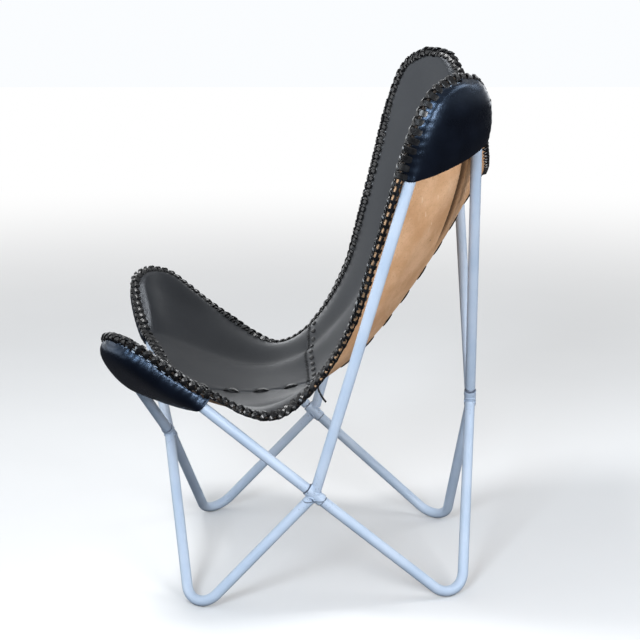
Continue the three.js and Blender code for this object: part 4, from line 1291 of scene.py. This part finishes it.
lip_stitches = (free_stitch, edge_stitch(LIP_POCKET_LEG, POCKET_LACE_W))
for number, (side, line, stitches) in enumerate([
    ("left", left_line, side_stitches), ("right", right_line, side_stitches),
    ("front", front_line, lip_stitches), ("top", top_line, lip_stitches),
]):
    thong = stitched(f"{side}_edge_thong", stitches, [line], STITCH_PITCH, wander=0.1, seed=11 + number)
    settle(thong, [f"{side}_edge_lacing"], "lace", lace_finish)


def centre_row(mid, look, rows, side=1):
    """Line up the middle of the sling, seen from the sitter's side, 1, or from outside, -1."""
    rows = slice(*rows)
    line, n = mid[rows, 0] * [0, 1, 1], look[rows, 0]
    return line, np.tile([1.0, 0, 0], (len(line), 1)), n * side, np.full(len(line), float(side < 0))


seat_row = stitched(
    "seat_seam_stitches", [dash(SEAM_DASH, SEAT_DASH_W, SEAT_DASH_UP, SEAT_DASH_T)],
    [centre_row(seat_mid, seat_look, SEAT_SEAM_ROWS)], SEAM_PITCH, wander=0.05, seed=21,
)
settle(seat_row, ["seat_seam_lace"], "lace", lace_finish)
back_rows = stitched(
    "back_seam_stitches", [dash(SEAM_DASH, SEAM_W, SEAM_UP), dash(SEAM_DASH, SEAM_W, SEAM_OUTSIDE_UP)],
    [centre_row(back_mid, back_look, BACK_SEAM_ROWS), centre_row(back_mid, back_look, OUTSIDE_SEAM_ROWS, -1)],
    SEAM_PITCH, wander=0.05, seed=22,
)
settle(back_rows, ["back_seam_lace"], "lace", lace_finish)


def cross_row(shift, along_seam):
    """Line along the cross seam, so far up the back, with its stitches' outward way along the seam or up."""
    up = unit(back_mid[1] - back_mid[0])
    line = back_mid[0] + up * shift
    out = unit(np.gradient(line, axis=0)) if along_seam else up
    line, out, look = (both_sides(row[2:-4]) for row in (line, out, back_look[0]))
    return line, out, look, np.zeros(len(line))


def gathered(first, second):
    """Two pieces made one."""
    both = bmesh.new()
    both.from_mesh(first.data)
    both.from_mesh(second.data)
    both.to_mesh(first.data)
    both.free()
    bpy.data.objects.remove(second)
    return first


whip = stitched(
    "cross_seam_stitches", [dash(WHIP_DASH, WHIP_W, WHIP_UP, WHIP_T)], [cross_row(0.0, along_seam=True)],
    WHIP_PITCH, wander=0.25, seed=23,
)
straps = stitched(
    "cross_seam_straps", [dash(STRAP_DASH, STRAP_W, STRAP_UP, STRAP_T)],
    [cross_row(STRAP_SHIFT, along_seam=False)], STRAP_PITCH, wander=0.2, seed=24,
)
settle(gathered(whip, straps), ["cross_seam_lace"], "lace", lace_finish)


# Loose end of the lace

TAIL_PATH = (
    (0, 0, 0), (0.6, 1.0, -4), (1.0, 2.4, -9), (1.0, 4.6, -14), (0.6, 7.4, -19), (0, 10.6, -24),
    (-0.4, 13.8, -28),
)


def loose_end():
    """The thong's end, hanging free from the near edge of the cross seam."""
    low, high = (np.array(c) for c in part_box("lace_tail"))
    top = np.array([(low[0] + high[0]) / 2, low[1] + TAIL_IN, high[2] - TAIL_DOWN])
    path = np.array([top + point(x, y, z) for x, y, z in TAIL_PATH])
    shape = strap([(p / MM, (1, 0, 0)) for p in path], TAIL_W, TAIL_T)
    made = new_object("loose_lace_end", mesh_of("loose_lace_end", *shape))
    settle(made, ["lace_tail"], "lace", lace_finish)


loose_end()


# Floor, backdrop and light

FLOOR_REACH = 9


def pale_floor():
    """Plain pale floor that keeps the chair's shadow and fades to white far off."""
    corners = [(x * FLOOR_REACH, y * FLOOR_REACH, 0) for x, y in ((-1, -1), (1, -1), (1, 1), (-1, 1))]
    floor = new_object("floor", mesh_of("floor", corners, [(0, 1, 2, 3)], rounded=False))
    f = Finish("pale_floor", Roughness=0.9, Specular_IOR_Level=0.1)
    watched = f.node("ShaderNodeLightPath", out="Is Camera Ray")
    pale = f.tint(f.noise(3, 2), colour(0.80, 0.80, 0.80), colour(0.83, 0.83, 0.83))
    f.feed(Base_Color=f.tint(watched, colour(0.035, 0.035, 0.04), pale))
    far = f.node("ShaderNodeVectorMath", {"operation": "LENGTH"}, {0: f.place}, out=1).between(1.2, 4.5)
    glow = f.node("ShaderNodeEmission", None, {"Color": colour(1, 1, 1), "Strength": 1.0})
    faded = f.node("ShaderNodeMixShader", None, {0: far * watched, 1: Wire(f, f.shader.outputs[0]), 2: glow})
    f.tree.links.new(faded.socket, f.tree.nodes["Material Output"].inputs["Surface"])
    floor.data.materials.append(f.material)


def studio():
    """White backdrop to the eye; round the chair a dim room with a bright far wall and a window ahead."""
    world = bpy.data.worlds.new("studio")
    bpy.context.scene.world = world
    world.use_nodes = True
    g = Graph(world.node_tree)
    straight = g.node("ShaderNodeLightPath", out="Is Camera Ray")
    straight = straight.most(g.node("ShaderNodeLightPath", out="Is Transmission Ray"))
    seen = straight.most(g.node("ShaderNodeLightPath", out="Is Glossy Ray") * GLOSS_SHARE)
    way = g.node("ShaderNodeTexCoord", out="Generated")
    x, y, z = (g.node("ShaderNodeSeparateXYZ", None, {0: way}, out=axis) for axis in "XYZ")
    away, ahead = x * -1, y * -1
    wall = away.between(-0.1, 0.9) * 0.36 + away.between(0.55, 0.98) * (1 - z.between(0.08, 0.42)) * 2.3
    window = ahead.between(0.75, 0.95) * 2.1 + ahead.between(0.3, 0.65) * z.between(0.28, 0.46) * 0.5
    strength = (0.24 + wall + window) * (1 - seen) + seen
    background = world.node_tree.nodes["Background"]
    world.node_tree.links.new(strength.socket, background.inputs["Strength"])
    background.inputs["Color"].default_value = colour(0.96, 0.98, 1.0)


def lamp(name, at, aim, size, power, tone=(1, 1, 1)):
    """A rectangular light that looks at a place."""
    data = bpy.data.lights.new(name, "AREA")
    data.shape = "RECTANGLE"
    data.size, data.size_y = size
    data.energy, data.color = power, tone
    made = new_object(name, data)
    made.location = at
    made.rotation_mode = "QUATERNION"
    made.rotation_quaternion = (Vector(aim) - Vector(at)).to_track_quat("-Z", "Y")


pale_floor()
studio()
lamp("ceiling_softbox", at=(0.1, -0.85, 2.8), aim=(0, -0.1, 0.4), size=(0.62, 0.55), power=32)
lamp(
    "side_window", at=(2.7, -0.8, 1.75), aim=(0.2, 0.1, 0.6), size=(0.72, 0.85), power=52,
    tone=(0.80, 0.90, 1.0),
)
lamp(
    "back_strip", at=(0.3, 2.4, 1.9), aim=(0.2, 0, 0.6), size=(1.6, 0.7), power=20,
    tone=(0.90, 0.95, 1.0),
)
lamp(
    "back_fill", at=(2.4, 1.25, 0.75), aim=(0.1, 0.0, 0.5), size=(0.9, 0.6), power=46,
    tone=(0.97, 0.98, 1.0),
)
